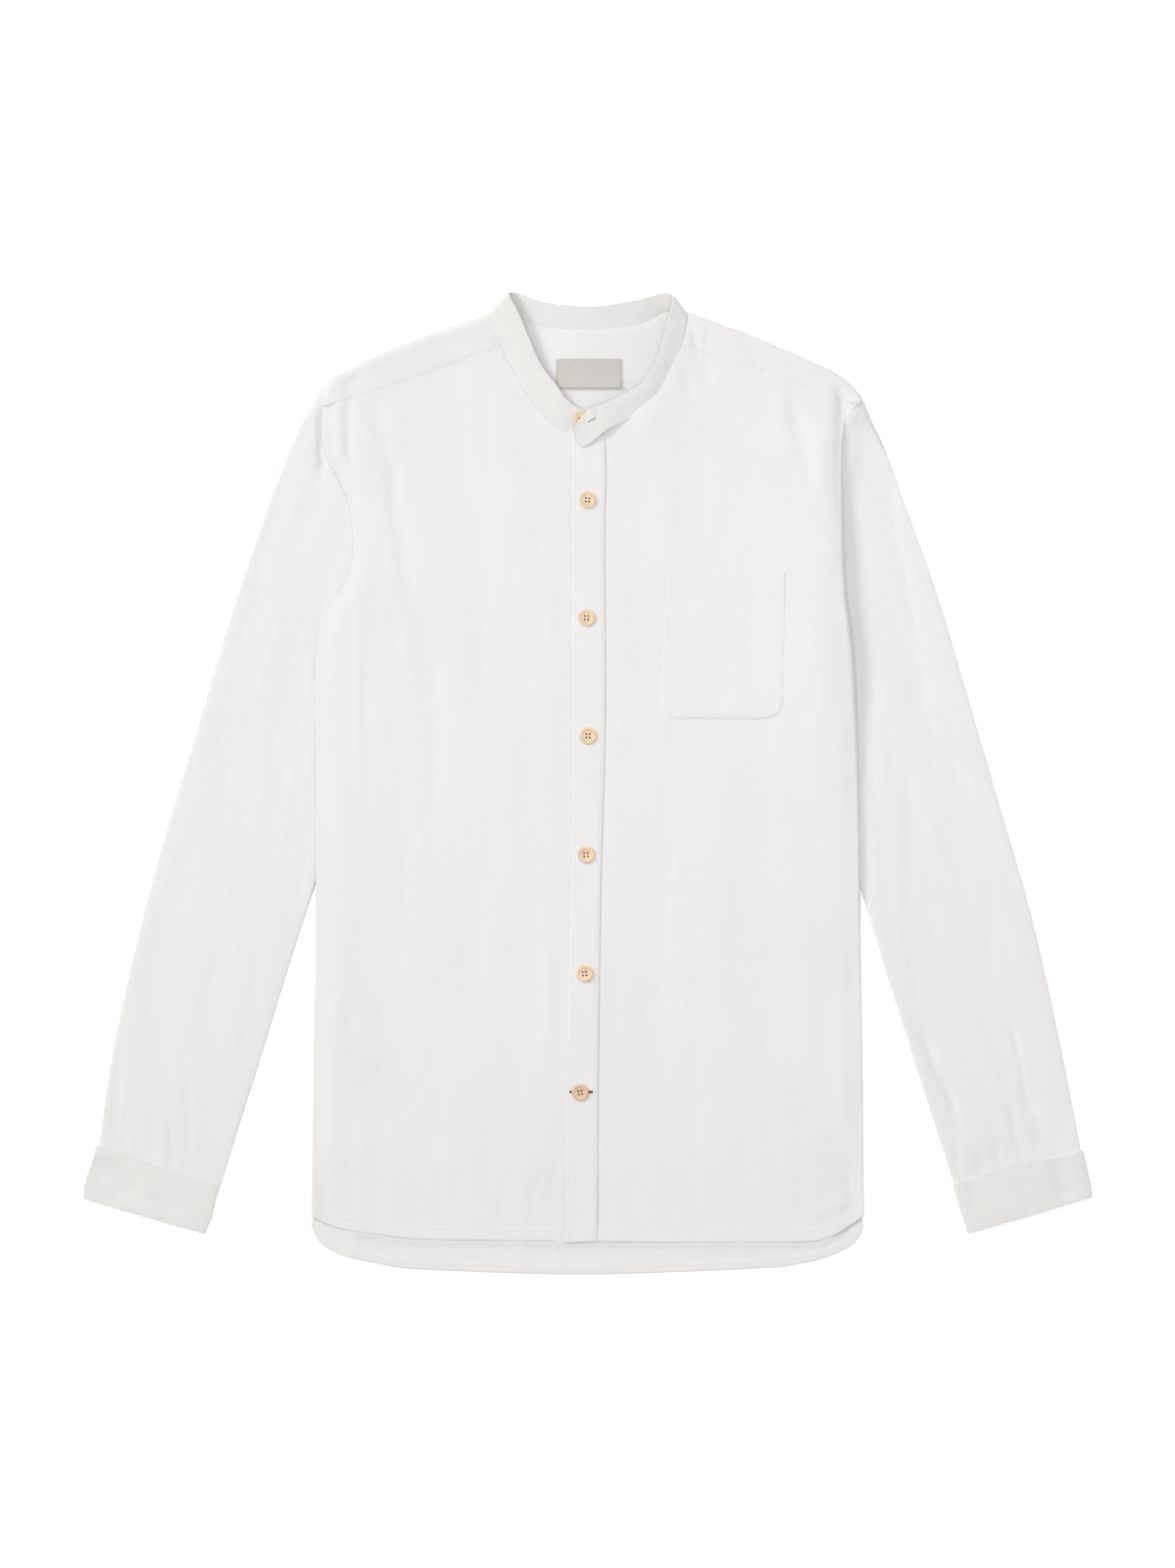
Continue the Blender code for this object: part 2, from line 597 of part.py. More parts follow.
def build_button(name, centre, material):
    """A turned button with a raised rim, its underside at the centre's height."""
    profile = ((0.0, 0.0), (BUTTON_BASE, 0.0), (BUTTON_RADIUS, 1.0), (BUTTON_RADIUS, 2.2),
               (BUTTON_RIM, BUTTON_HEIGHT), (BUTTON_WELL, BUTTON_WELL_HEIGHT),
               (0.0, BUTTON_WELL_HEIGHT))
    shape = bmesh.new()
    verts = [shape.verts.new((radius * MM, 0.0, height * MM)) for radius, height in profile]
    edges = [shape.edges.new(pair) for pair in zip(verts, verts[1:])]
    bmesh.ops.spin(shape, geom=verts + edges, axis=(0, 0, 1), cent=(0, 0, 0),
                   angle=2 * math.pi, steps=BUTTON_STEPS, use_merge=True)
    bmesh.ops.remove_doubles(shape, verts=shape.verts, dist=0.00001)
    bmesh.ops.recalc_face_normals(shape, faces=shape.faces)
    item = add_object(name, shape, material)
    item.location = Vector(centre) * MM
    return item


def main():
    """Build every piece of the shirt."""
    clear_scene()
    cloth = {name: finish(name, SHIRTING_COLOUR, 0.9) for name in (
        "back", "yoke", "front_left", "front_right", "placket", "pocket", "collar_band",
        "sleeve_left", "sleeve_right", "cuff_left", "cuff_right")}
    build_back(cloth["back"])
    build_yoke(cloth["yoke"])
    under_edge = [Point(UNDER_EDGE_X, y) for y in (NECK_LEFT[0].y, 0, FRONT_HEM[5].y)]
    build_front("front_left", LEFT, under_edge, CLOTH + SEAM_LAP, cloth["front_left"])
    build_front("front_right", RIGHT, [Point(p.x + 1.0, p.y) for p in PLACKET_FREE], 0.0,
                cloth["front_right"])
    build_placket(cloth["placket"])
    build_pocket(cloth["pocket"])
    build_band(cloth["collar_band"])
    for side in (LEFT, RIGHT):
        sleeve, cuff = "sleeve_" + side.name, "cuff_" + side.name
        build_tube(sleeve, side, side.sleeve, 18, CLOTH, cloth[sleeve])
        build_tube(cuff, side, side.cuff, 4, CUFF_WALL, cloth[cuff])
    build_label(finish("neck_label", LABEL_COLOUR, 0.8))
    button = finish("button", BUTTON_COLOUR, 0.4)
    build_button("button_collar", COLLAR_BUTTON, button)
    for number, point in enumerate(BUTTONS, start=1):
        height = front_height(*point) + CLOTH + LAY + BUTTON_LIFT
        build_button(f"button_{number}", (point.x, point.y, height), button)


main()
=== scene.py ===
"""Mandarin collar shirt, buttoned and laid flat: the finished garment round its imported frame.

Plan sizes and heights are millimetres, and MM turns them into the frame's metres. +X is the
wearer's left side, +Y points to the collar and +Z up from the surface that the shirt lies on.
"Left" and "right" in names are those of someone who looks at the front.
"""

import logging
import math
from dataclasses import dataclass, field
from enum import Enum
from typing import Callable, NamedTuple, Optional, Sequence

import bmesh
import bpy
import numpy as np
from bmesh.types import BMesh
from bpy.types import Material, Node, NodeSocket, NodeTree, Object, Scene
from mathutils import Matrix, Vector
from mathutils.bvhtree import BVHTree


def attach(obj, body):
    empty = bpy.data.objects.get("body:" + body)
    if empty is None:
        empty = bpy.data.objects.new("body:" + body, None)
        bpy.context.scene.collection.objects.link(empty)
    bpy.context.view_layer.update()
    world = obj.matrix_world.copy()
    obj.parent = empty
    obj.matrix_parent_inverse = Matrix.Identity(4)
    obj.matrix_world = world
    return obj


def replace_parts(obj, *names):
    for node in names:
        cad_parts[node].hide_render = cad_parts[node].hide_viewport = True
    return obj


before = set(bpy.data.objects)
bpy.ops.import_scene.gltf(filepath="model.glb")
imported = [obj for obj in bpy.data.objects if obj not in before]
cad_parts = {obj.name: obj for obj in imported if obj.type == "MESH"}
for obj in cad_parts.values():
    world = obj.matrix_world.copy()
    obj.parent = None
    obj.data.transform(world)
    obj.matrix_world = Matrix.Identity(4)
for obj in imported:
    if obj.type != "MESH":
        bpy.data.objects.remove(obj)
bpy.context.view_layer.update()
BODY = "root"
MM = 0.001
LOG = logging.getLogger("shirt")

Array = np.ndarray
Placed = tuple[Array, Array, Array]
Placer = Callable[[Array, Array], Placed]


# ---------------------------------------------------------------- sizes

CLOTH = 0.6              # one layer of shirting
FLAT_WALL = 0.75         # the back of the shirt, where it lies on the surface
BAND_WALL = 1.4          # collar band, with its interlining
CUFF_WALL = 1.2
LABEL_WALL = 0.7
PLACKET_WALL = 0.5
POCKET_WALL = 0.5
HEM_DROP = 2.6           # how far the fronts settle towards their hem
HEM_REACH = 75.0         # the settling starts this far above the hem
HEM_SIDE = 14.0          # and ends this far inside the side edges
TAIL_RISE = 1.3          # the tail lifts a little where it comes out under the fronts
TAIL_RISE_Y = ((-8.0, 0.5), (10.0, 40.0))   # it lifts and lies down again, above the front hem
TAIL_RISE_X = (215.0, 190.0)
TUCK = 5.0               # how far a front runs on under the yoke and the collar band
TUCK_DROP = 0.8          # it lies lower there, from the one to the other distance past its edge
TUCK_DROP_Y = (0.2, 1.4)
FRONT_LOWEST = 1.5       # the fronts clear the back by lying no lower than this
PLACKET_WIDTH = 27.0
PLACKET_LIFT = 0.52      # outer face of the placket above the front
POCKET_LIFT = 0.62
YOKE_LIFT = 0.06
BUTTON_SEAT = 0.6        # underside of a button above the front
FOLD_LIP = 9.0           # how far a side edge is turned under
UNDER_DROP = 0.6         # the hidden front lies this much lower under the placket

# Height of the closed fronts: each rise, and where it starts and is complete
BODY_HEIGHT = 5.0        # beside the hem
BODY_RISE = 3.0          # up to the chest
BODY_RISE_Y = (-374.0, -40.0)
SLEEVE_RISE = 1.4        # over the sleeves' inner edges
SIDE_RISE_X = (130.0, 188.0)
SIDE_RISE_Y = (-150.0, -75.0)
RIGHT_EDGE_RISE = 5.8    # towards the right armhole, and less of it near the shoulder
RIGHT_EDGE_X = (100.0, 206.0)
RIGHT_EDGE_Y = (-60.0, 140.0)
RIGHT_EDGE_TOP_Y = (303.0, 272.0)
RIGHT_EDGE_HIGH_Y = (180.0, 250.0)
RIGHT_EDGE_HIGH_SHARE = 0.6
SHOULDER_RISE = 3.2      # towards the shoulder folds, and less of it near the right armhole
SHOULDER_RISE_Y = (375.0, 440.0)
SHOULDER_SLOPE = 0.42
ARMHOLE_SINK_X = (150.0, 215.0)
ARMHOLE_SINK_SHARE = 0.6
NECK_RISE = 0.3          # round the neck
NECK_CENTRE_Y = 340.0
NECK_RISE_REACH = (120.0, 56.0)

# The yoke's inner face swells up inside the neck
NECK_LIFT = 6.5
NECK_LIFT_Y = 362.0
NECK_LIFT_REACH = 66.0
NECK_LIFT_SHAPE = 0.9

UNDER_EDGE_X = 12.0      # centre edge of the front that lies under
UNDER_EDGE_ROWS = (283, 140, 0, -200, -373.5)
UNDER_STEP_X = (-34.0, -16.0)   # it comes down between these
OVER_EDGE_IN = 0.8       # the placket stands out past its front by this much
YOKE_BACK_SEAM = 262.0
POCKET_TOP = 172.0
POCKET_BOTTOM = 52.0
POCKET_CORNER = 14.0
POCKET_HEM = 21.6
YOKE_STITCH_IN = 2.2     # each row of stitches lies this far inside its edge
YOKE_STITCH_ENDS = slice(3, -3)
PLACKET_STITCH_IN = 2.4
POCKET_STITCH_IN = 2.2
POCKET_HEM_STITCH_IN = (2.6, 1.6)
LABEL_STITCH_IN = 1.0
LABEL_LEFT, LABEL_RIGHT = -25.5, 27.5
LABEL_TOP, LABEL_BOTTOM = 345.5, 321.5
LABEL_HEIGHT = 1.9       # outer face of the label above the yoke's lifted inner face


class Fold(NamedTuple):
    """A soft ridge along plan points, or a trough where its rise is below zero."""

    width: float
    rise: float
    line: tuple


class Ring(NamedTuple):
    """One ring of a flattened tube, from its outer fold to its inner fold.

    height is that of its upper layer, and crown what its middle has beside that. The lower
    layer is bowed out along the tube by bow, and the upper one by cap.
    """

    outer_x: float
    outer_y: float
    inner_x: float
    inner_y: float
    height: float
    crown: float
    bow: float = 0.0
    cap: float = 0.0


class Station(NamedTuple):
    """A place along the collar band: a point on its seam and the point above it on its top."""

    seam_x: float
    seam_y: float
    seam_z: float
    top_x: float
    top_y: float
    top_z: float


class Slot(Enum):
    """Names of the material slots."""

    SHIRTING = "shirting"
    FIRM = "firm_shirting"
    LABEL = "label_tape"
    BUTTON = "button"


# Shoulder folds and front yoke seams, from the neck out to the armhole
SHOULDER_RIGHT = ((82.6, 383.6), (107, 374.8), (131, 366.2), (173, 348), (200, 336), (212, 327),
                  (223.6, 315))
SHOULDER_LEFT = ((-82.6, 383.6), (-107, 374.4), (-132, 366), (-154, 357), (-180, 346.5),
                 (-204, 334))
YOKE_SEAM_RIGHT = ((74.6, 356.5), (120, 342.5), (168, 326), (219, 308))
YOKE_SEAM_LEFT = ((-68.6, 356.5), (-96, 347.5), (-127, 334.5), (-216, 306))

# Where the collar band joins
NECK_RIGHT = ((-11.5, 279.2), (4, 280), (17, 286.6), (31.6, 295.4), (48.8, 305.4),
              (60.8, 317.4), (69.4, 336), (74.6, 354.4))
NECK_LEFT = ((12, 282.4), (-2, 283), (-12, 285), (-27.2, 292), (-43, 309.4), (-57, 331.8),
             (-68.6, 354.4))
NECK_BACK = ((-82.6, 379), (-74, 382.4), (-63, 382), (-51, 374.6), (-35, 369.6), (0, 367.6),
             (32, 369.8), (50, 374.6), (63, 382), (74, 382.4), (82.6, 379))

# Outer edges of the two fronts, from the armhole down to the hem
FRONT_SIDE_RIGHT = ((220, 308), (211.2, 297.5), (208.6, 287), (207.6, 255), (208.2, 200),
                    (209.8, 158), (214.2, 122), (217.4, 85), (219.4, 45), (221, 0), (221.6, -45),
                    (222, -85), (224.4, -240), (225.4, -352))
FRONT_SIDE_LEFT = ((-214.5, 305.5), (-217, 288), (-211, 262), (-198, 238), (-191.5, 210),
                   (-191.5, 182), (-198, 163), (-208, 146), (-216.4, 128), (-220.8, 106),
                   (-221.4, 60), (-221.4, -85), (-224.2, -240), (-225.4, -352))
FRONT_HEM = ((-225.4, -354), (-210, -361), (-195, -365), (-172, -368), (-135, -372),
             (-18, -373.5), (80, -374.5), (178, -374), (195, -371), (208, -365.5),
             (225.4, -353.5))
BACK_HEM = ((-225.4, -361), (-222.4, -369.6), (-216.4, -377.2), (-206, -383.6), (-191, -388),
            (-172, -392), (-135, -397), (0, -401), (140, -396), (171, -392.6), (192, -388),
            (209.6, -380.8), (220.4, -372.6), (225.4, -362))

PLACKET_INNER = ((14, 284), (14.8, 247), (13.8, 205), (14.2, 48), (10.8, -80), (8.6, -235),
                 (8, -374.2))
PLACKET_FREE = ((-12.5, 277.5), (-12.6, 205), (-12.4, 48), (-13.2, -80), (-17, -235),
                (-18, -375))
BUTTONS = ((0, 230.4), (-0.8, 134.4), (0.4, 38.4), (-1.2, -58.4), (-2.4, -155.2), (-6.0, -252.0))
COLLAR_BUTTON = (-4.6, 296.0, 9.2)
HOLES = ((-1, -1), (-1, 1), (1, -1), (1, 1))
LOW_BUTTONHOLE = np.array([(-8.4, 0.4), (10.4, 0.4)])   # from the middle of the lowest button
TAB_BUTTONHOLE = np.array([(0.4, 293.6), (6.8, 296.8)])
POCKET_INNER_EDGE = ((66, POCKET_TOP), (62, 110), (61, POCKET_BOTTOM))
POCKET_OUTER_EDGE = ((160.4, POCKET_TOP), (159.6, 111), (158.6, POCKET_BOTTOM))
POCKET_WIDTH = POCKET_OUTER_EDGE[0][0] - POCKET_INNER_EDGE[0][0]

# Sleeves and cuffs: a ring for each row
SLEEVE_RIGHT = [Ring(*row) for row in (
    (225, 311, 170, 79, 4.4, 0.2, 9, 15.5),
    (232.4, 294, 177, 57, 4.4, 0.3, 6, 9),
    (241.4, 275.5, 188, 22, 4.4, 0.5, 3, 5),
    (259.4, 226, 205, -29, 4.5, 0.8),
    (284.8, 155, 222.4, -84.8, 4.6, 1.2),
    (311, 68, 233.4, -121, 4.8, 1.6),
    (336.6, -20, 247, -166.4, 5.0, 1.6),
    (358.6, -95, 260.3, -208, 5.0, 1.6),
    (377.6, -175, 273.6, -249.6, 5.0, 1.6),
    (391.2, -241, 285.4, -286, 4.5, 1.4),
    (403.4, -304.0, 299.6, -330.4, 3.3, 0.8))]
SLEEVE_LEFT = [Ring(*row) for row in (
    (-206, 333, -173, 79, 4.4, 0.2, 9, 14),
    (-223, 315.4, -179, 58, 4.4, 0.3, 6, 9),
    (-241, 278, -190, 22, 4.4, 0.5, 3, 5),
    (-264.6, 214, -205, -27, 4.5, 0.8),
    (-292.6, 131, -222.8, -85, 4.6, 1.2),
    (-320.6, 38, -236.4, -127, 4.8, 1.6),
    (-345.6, -46, -252.2, -178, 5.0, 1.6),
    (-363, -110.4, -264.2, -217, 5.0, 1.6),
    (-380.4, -185, -278.7, -263, 5.0, 1.6),
    (-391.2, -242, -289.8, -298, 4.5, 1.4),
    (-399.0, -300.2, -300.4, -332.2, 3.3, 0.8))]
CUFF_RIGHT = [Ring(*row) for row in (
    (404.4, -299.6, 297.6, -326.6, 4.5, 0.6),
    (407.4, -313, 301.2, -340, 4.5, 0.4),
    (409.8, -323, 304.8, -352, 4.5, 0.4),
    (412, -337.2, 310, -367.4, 4.5, 0.6))]
CUFF_LEFT = [Ring(*row) for row in (
    (-400.6, -295.2, -299.6, -328, 4.5, 0.6),
    (-405, -310, -303.2, -341, 4.5, 0.4),
    (-410, -324, -306.4, -354, 4.5, 0.4),
    (-411.8, -338.6, -312, -367.4, 4.5, 0.6))]
SLEEVE_EDGE_FULLNESS = 1.25     # creases of a tube are whole this soon inside its side folds
SLEEVE_EDGE_SHAPE = 0.45
SLEEVE_LENGTH = 620.0    # for its ripples
SLEEVE_SLOPE = 0.16      # how soon a sleeve is full, from its side folds inwards
SLEEVE_SHOULDER = 3.4    # how much higher its side folds are at the armhole
CAP_SHAPE = 0.24         # how square the sleeve's cap is
ARMHOLE_GAP = 1.0        # between a sleeve and the panel beside it, in plan
UNDERARM_SHARE = 0.4     # share of a sleeve's length that runs down beside the back

# The collar band from its buttoned-under end, round the back of the neck, to its top end
BAND = [Station(*row) for row in (
    (5.2, 281.8, 7.0, 8.6, 301.5, 6.6),
    (-12.4, 284.6, 7.6, -5.2, 304.6, 7.4),
    (-27.8, 291.2, 9.0, -17.2, 312.8, 10.8),
    (-43.8, 308.8, 9.5, -25.2, 324, 14.4),
    (-58, 331.2, 9.9, -38, 341, 18.4),
    (-69.4, 353.6, 10.3, -47.6, 362.4, 20.4),
    (-78, 371.2, 10.5, -55.6, 381.6, 21.6),
    (-80.6, 381.8, 10.0, -63.4, 397.0, 20.8),
    (-75, 384.8, 5.0, -60.6, 399.2, 19.8),
    (-64, 381.6, 2.9, -55.0, 398.8, 17.8),
    (-51, 373.6, 2.6, -48, 396, 16.6),
    (-34.8, 368.6, 2.6, -31.6, 391, 15.8),
    (0.4, 366.8, 2.6, 2.4, 388, 15.6),
    (32.4, 369, 2.6, 33, 392, 15.8),
    (50, 373.6, 2.6, 49.6, 396, 16.6),
    (64, 381.6, 2.9, 60.2, 398.9, 17.9),
    (75, 384.8, 5.0, 66.4, 398.8, 19.9),
    (80.6, 381.8, 9.6, 69.6, 395.0, 22.6),
    (79.4, 369.6, 10.0, 66.8, 381.6, 26.0),
    (75.4, 352.8, 10.2, 62, 363.2, 26.4),
    (70, 336, 10.2, 54.8, 341, 26.0),
    (61.4, 317, 10.0, 45.2, 326.4, 24.4),
    (49.4, 304.6, 9.8, 34, 319, 21.4),
    (32, 295, 10.2, 20, 312, 18.2),
    (16.4, 287.4, 11.8, 9.0, 306.8, 15.6),
    (5.0, 278.2, 10.6, 0.6, 303.6, 13.2),
    (-2.5, 273.8, 10.1, -5.3, 297.4, 13.1),
    (-6.6, 274.4, 10.1, -9.2, 291.8, 12.8),
    (-9.8, 278.0, 10.6, -11.0, 287.0, 12.2))]

# Broad folds of the shirt, each by the line of its middle
LARGE_FOLDS = [Fold(*row) for row in (
    (8, 0.6, ((-184, 305), (-166, 205), (-146, 120), (-136, -60))),
    (5, 0.6, ((-201, 318), (-200, 262))),
    (20, 0.8, ((-205, -170), (-190, -330))),
    (8, 0.8, ((154, 318), (166, 262))),
    (6, 0.8, ((90, 376), (94, 345))),
    (10, -0.6, ((198, -120), (194, -290))),
    (9, 0.6, ((248, -20), (262, -160))))]
CAP_FOLDS = [Fold(*row) for row in (
    (15, 4.6, ((226, 314), (224, 309), (214, 297), (212, 292))),
    (11, 4.6, ((-202, 336), (-204, 331), (-217, 302), (-219, 297))))]

# Creases of the two fronts and the yoke, each by the line of its flank on the left
FRONT_CREASES = [Fold(*row) for row in (
    (6, -0.7, ((-196.4, 334), (-195, 314))),
    (4, -1.5, ((-196.6, 314), (-196.6, 257))),
    (3, -0.4, ((-212, 282), (-208, 268), (-200, 240))),
    (3, 0.4, ((-212.6, 266), (-207.4, 248))),
    (3.5, 0.3, ((-189.2, 262), (-190, 172))),
    (7, -1.2, ((-178, 320), (-172.4, 287), (-162.8, 255), (-161.2, 231), (-156.4, 203), (-150, 150))),
    (10, -0.8, ((-138, 140), (-130.8, 43), (-127, -40))),
    (5, 0.6, ((-190, 188), (-191.1, 42), (-187.4, -4))),
    (12, 1.4, ((23, 292), (40, 302), (52, 315), (61, 336), (66, 354), (74, 378))),
    (12, -1.2, ((-35, 290), (-51, 308), (-65, 331), (-77, 354), (-84, 374))),
    (8, 0.4, ((-203, 165), (-208, 110))),
    (5, -0.4, ((-183, 104), (-180, -36))),
    (5, -0.7, ((-130, 336.6), (-96, 339.6))),
    (8, 0.4, ((-184, 334), (-176, 312))),
    (10, -0.5, ((-205, -150), (-203, -320))),
    (3, -0.3, ((-203, -158), (-196, -190), (-191, -228))),
    (7, -0.4, ((-222, -305), (-188, -334))),
    (22, -1.4, ((-214, -214), (-182, -256), (-140, -300), (-96, -350))),
    (6, -0.4, ((-22, -262), (-34, -350))),
    (4, -0.4, ((-42, -320), (-51, -358))),
    (4.5, -0.3, ((-68, -312), (-77, -366))),
    (8, -0.4, ((-120, 333), (-102, 320))),
    (14, 0.5, ((-70, 300), (-76, 190))),
    (12, -0.5, ((-96, 220), (-94, 50))),
    (13, 0.45, ((-70, 70), (-75, -130))),
    (14, -0.5, ((-103, -50), (-109, -230))),
    (9, -0.35, ((-52, 130), (-56, -40))),
    (8, 0.3, ((-38, -110), (-42, -260))),
    (6, -1.0, ((160, 314), (172.4, 271), (178, 240))),
    (8, -0.4, ((165, 328), (172, 296))),
    (2.6, -1.1, ((201, 330), (203, 322), (205.6, 305))),
    (6, -3.2, ((204.6, 322), (203.6, 290), (203.6, 240), (206, 180), (208, 160))),
    (5, -0.8, ((212.6, 90), (214.6, -40))),
    (8, 0.3, ((181, 310), (187, 230))),
    (2.8, -1.4, ((84.4, 383), (89.4, 346))),
    (3.4, -0.9, ((93.6, 380), (96.4, 348))),
    (5, -0.5, ((89, 356), (98.4, 322))),
    (5, -0.4, ((72, 342), (83, 312))),
    (9, -0.4, ((128, 346), (146, 335))),
    (8, -0.5, ((124, 366), (196, 323))),
    (12, -0.6, ((113, 340), (121, 240))),
    (12, 0.4, ((48, 300), (52, 195))),
    (9, -0.3, ((34, 250), (36, 80))),
    (14, 0.4, ((95, 268), (89, 182))),
    (10, 0.4, ((179, 170), (184, 10))),
    (9, -0.35, ((170, 70), (174, -100))),
    (15, 0.5, ((101, 45), (93, -165))),
    (13, -0.45, ((51, -10), (49, -210))),
    (14, -0.5, ((129, -100), (137, -270))),
    (18, -1.1, ((146, -250), (190, -300), (218, -344))),
    (9, 0.3, ((28, -140), (30, -310))),
    (11, -0.45, ((83, -230), (75, -350))),
    (9, -0.5, ((207, -110), (205, -188))),
    (11, -0.5, ((200, -258), (204, -340))),
    (2.5, -0.5, ((203, -326), (213, -325))),
    (4, 0.4, ((176, -353), (216, -339))))]

POCKET_CREASES = [Fold(*row) for row in (
    (5.0, -0.2, ((86, 150), (88, 50))),
    (3.0, 0.2, ((128, 156), (126, 112))),
    (2.4, -0.48, ((150, 72), (155, 60))))]

# Creases of the sleeves and cuffs on their upper side, each by the line of its flank on the left
SLEEVE_CREASES = [Fold(*row) for row in (
    (3.4, -2.6, ((-217.4, 322), (-217.6, 290), (-217.8, 250))),
    (6, -0.6, ((-222, 262), (-221, 240))),
    (2, -0.8, ((-205.6, 331), (-208, 317))),
    (2, -0.8, ((-212, 317), (-219, 310))),
    (7, -0.8, ((-240, 285), (-249.6, 258), (-264.4, 199), (-276, 151), (-290, 100))),
    (6, -0.6, ((-214, 166), (-218, 150), (-222, 122))),
    (3, -0.5, ((-221, 134), (-224, 70))),
    (9, -0.5, ((-235, 4), (-247, -38))),
    (11, 0.4, ((-257, 160), (-271, 30))),
    (9, -0.5, ((-291, 68), (-307, -48))),
    (10, 0.4, ((-326, -70), (-336, -210))),
    (8, -0.4, ((-305, -110), (-317, -230))),
    (9, -0.5, ((-366, -152), (-352, -250))),
    (4, -0.8, ((-385.6, -214), (-388, -298))),
    (5, -0.6, ((-379, -266), (-381.4, -300))),
    (5, -0.5, ((-357.6, -272), (-360.4, -310))),
    (4, -0.7, ((-344, -280), (-341.6, -314))),
    (4.5, -0.5, ((-327.6, -240), (-327.6, -302))),
    (5, -0.5, ((-281.6, -198), (-284, -240))),
    (4, -0.6, ((-308.6, -296), (-301, -325))),
    (8, 0.4, ((218.5, 80), (219, 40), (219, 0), (217.5, -20))),
    (7, 2.2, ((199, 292), (199, 240), (200.4, 190), (203, 140), (207.6, 90))),
    (22, -0.8, ((200, 280), (204, 180), (210, 40))),
    (30, -2.8, ((205, 280), (207, 160), (209, 60))),
    (3.0, -0.9, ((215.6, 304), (222, 272), (226, 250))),
    (3, 0.4, ((222, 288), (231.4, 256))),
    (8, -1.4, ((222, 270), (236.4, 231), (244.4, 183), (256.4, 139), (258, 110))),
    (12, -1.3, ((254, 150), (258, 110), (262, 50))),
    (6, 0.6, ((230, 202), (230, 92))),
    (6, 0.6, ((234.6, 54), (236.2, -8))),
    (6, -0.4, ((258.6, 44), (259.6, -41), (256.4, -105), (261.2, -161), (268, -190))),
    (4, -1.2, ((268, -196), (274, -213), (284.4, -237), (292.4, -257), (306, -289))),
    (9, -0.7, ((266, -190), (282, -240), (302, -292))),
    (3, -0.5, ((298.4, -288), (301.6, -320))),
    (5, -0.7, ((312.6, -299), (319.6, -321))),
    (4, -0.6, ((329.8, -293), (334.6, -317))),
    (12, -0.35, ((283, 70), (301, -70))),
    (6, -0.35, ((324.6, -84), (322.6, -170))),
    (9, -0.4, ((325.8, -176), (341.4, -274))),
    (2.6, -0.8, ((342.4, -194), (350, -229), (357.2, -257), (361, -268))),
    (5, -1.0, ((355, -250), (366, -281), (368, -303))),
    (4, -0.8, ((343.4, -263), (351.8, -306))),
    (8, -0.8, ((378.4, -254), (376, -306))),
    (5, -0.5, ((387.8, -254), (389.2, -306))),
    (7, -1.1, ((-408, -306), (-396, -325))),
    (12, -1.6, ((-393, -302), (-389, -346))),
    (6, -0.8, ((-404, -309), (-367.6, -338), (-325, -352))),
    (10, -1.3, ((372, -300), (387, -343))),
    (5, -0.5, ((307.8, -316), (311.4, -354))),
    (8, 0.4, ((330, -320), (352, -345))))]

# Shallow creases of the back, which show on the tail and from below
BACK_CREASES = [Fold(*row) for row in (
    (8, 0.5, ((-190, -398), (-186, -292))),
    (9, 0.4, ((-60, -412), (-52, -322))),
    (5, 0.35, ((-22, -410), (-26, -346))),
    (10, 0.4, ((82, -412), (90, -302))),
    (6, 0.4, ((128, -408), (122, -334))),
    (3, 0.5, ((183, -393), (197, -365))),
    (12, 0.5, ((-122, 240), (-102, 30))),
    (14, 0.4, ((-149, 70), (-161, -190))),
    (16, 0.4, ((-18, 215), (-36, -75))),
    (10, 0.5, ((35, 250), (53, 50))),
    (13, 0.5, ((121, 215), (99, -95))),
    (12, 0.4, ((171, -10), (159, -250))),
    (14, 0.4, ((11, -110), (-1, -310))))]


@dataclass(frozen=True)
class Side:
    """The outlines of one half of the shirt.

    Attributes:
        name: "left" or "right".
        sign: -1 on the left and 1 on the right.
        shoulder: fold line of the shoulder, from the neck outwards.
        yoke_seam: seam between yoke and front, from the neck outwards.
        neck: the front's neck edge, from its centre outwards.
        front_side: outer edge of the front, from the armhole down.
        sleeve: rings of the sleeve.
        cuff: rings of the cuff.
        crown: share of the rings' crowns that the sleeve's middle stands up by.
        hem_stitch_start: the hem's stitches start this far from the middle.
    """

    name: str
    sign: int
    shoulder: tuple
    yoke_seam: tuple
    neck: tuple
    front_side: tuple
    sleeve: list
    cuff: list
    crown: float
    hem_stitch_start: float


LEFT = Side("left", -1, SHOULDER_LEFT, YOKE_SEAM_LEFT, NECK_LEFT, FRONT_SIDE_LEFT, SLEEVE_LEFT,
            CUFF_LEFT, 0.0, 18.0)
RIGHT = Side("right", 1, SHOULDER_RIGHT, YOKE_SEAM_RIGHT, NECK_RIGHT, FRONT_SIDE_RIGHT,
             SLEEVE_RIGHT, CUFF_RIGHT, -1.2, 9.0)


# ---------------------------------------------------------------- lines and heights

def lerp(start: Array, end: Array, share: Array) -> Array:
    """Value at a share of the way from start to end."""
    return start + (end - start) * share


def fade(value: Array, start: float, end: float) -> Array:
    """Smooth step from 0 at start to 1 at end."""
    share = np.clip((np.asarray(value, float) - start) / (end - start), 0.0, 1.0)
    return share * share * (3.0 - 2.0 * share)


def hump(value: Array, centre: float, width: float) -> Array:
    """A soft bump of height 1 round a centre."""
    return np.exp(-((np.asarray(value, float) - centre) / width) ** 2)


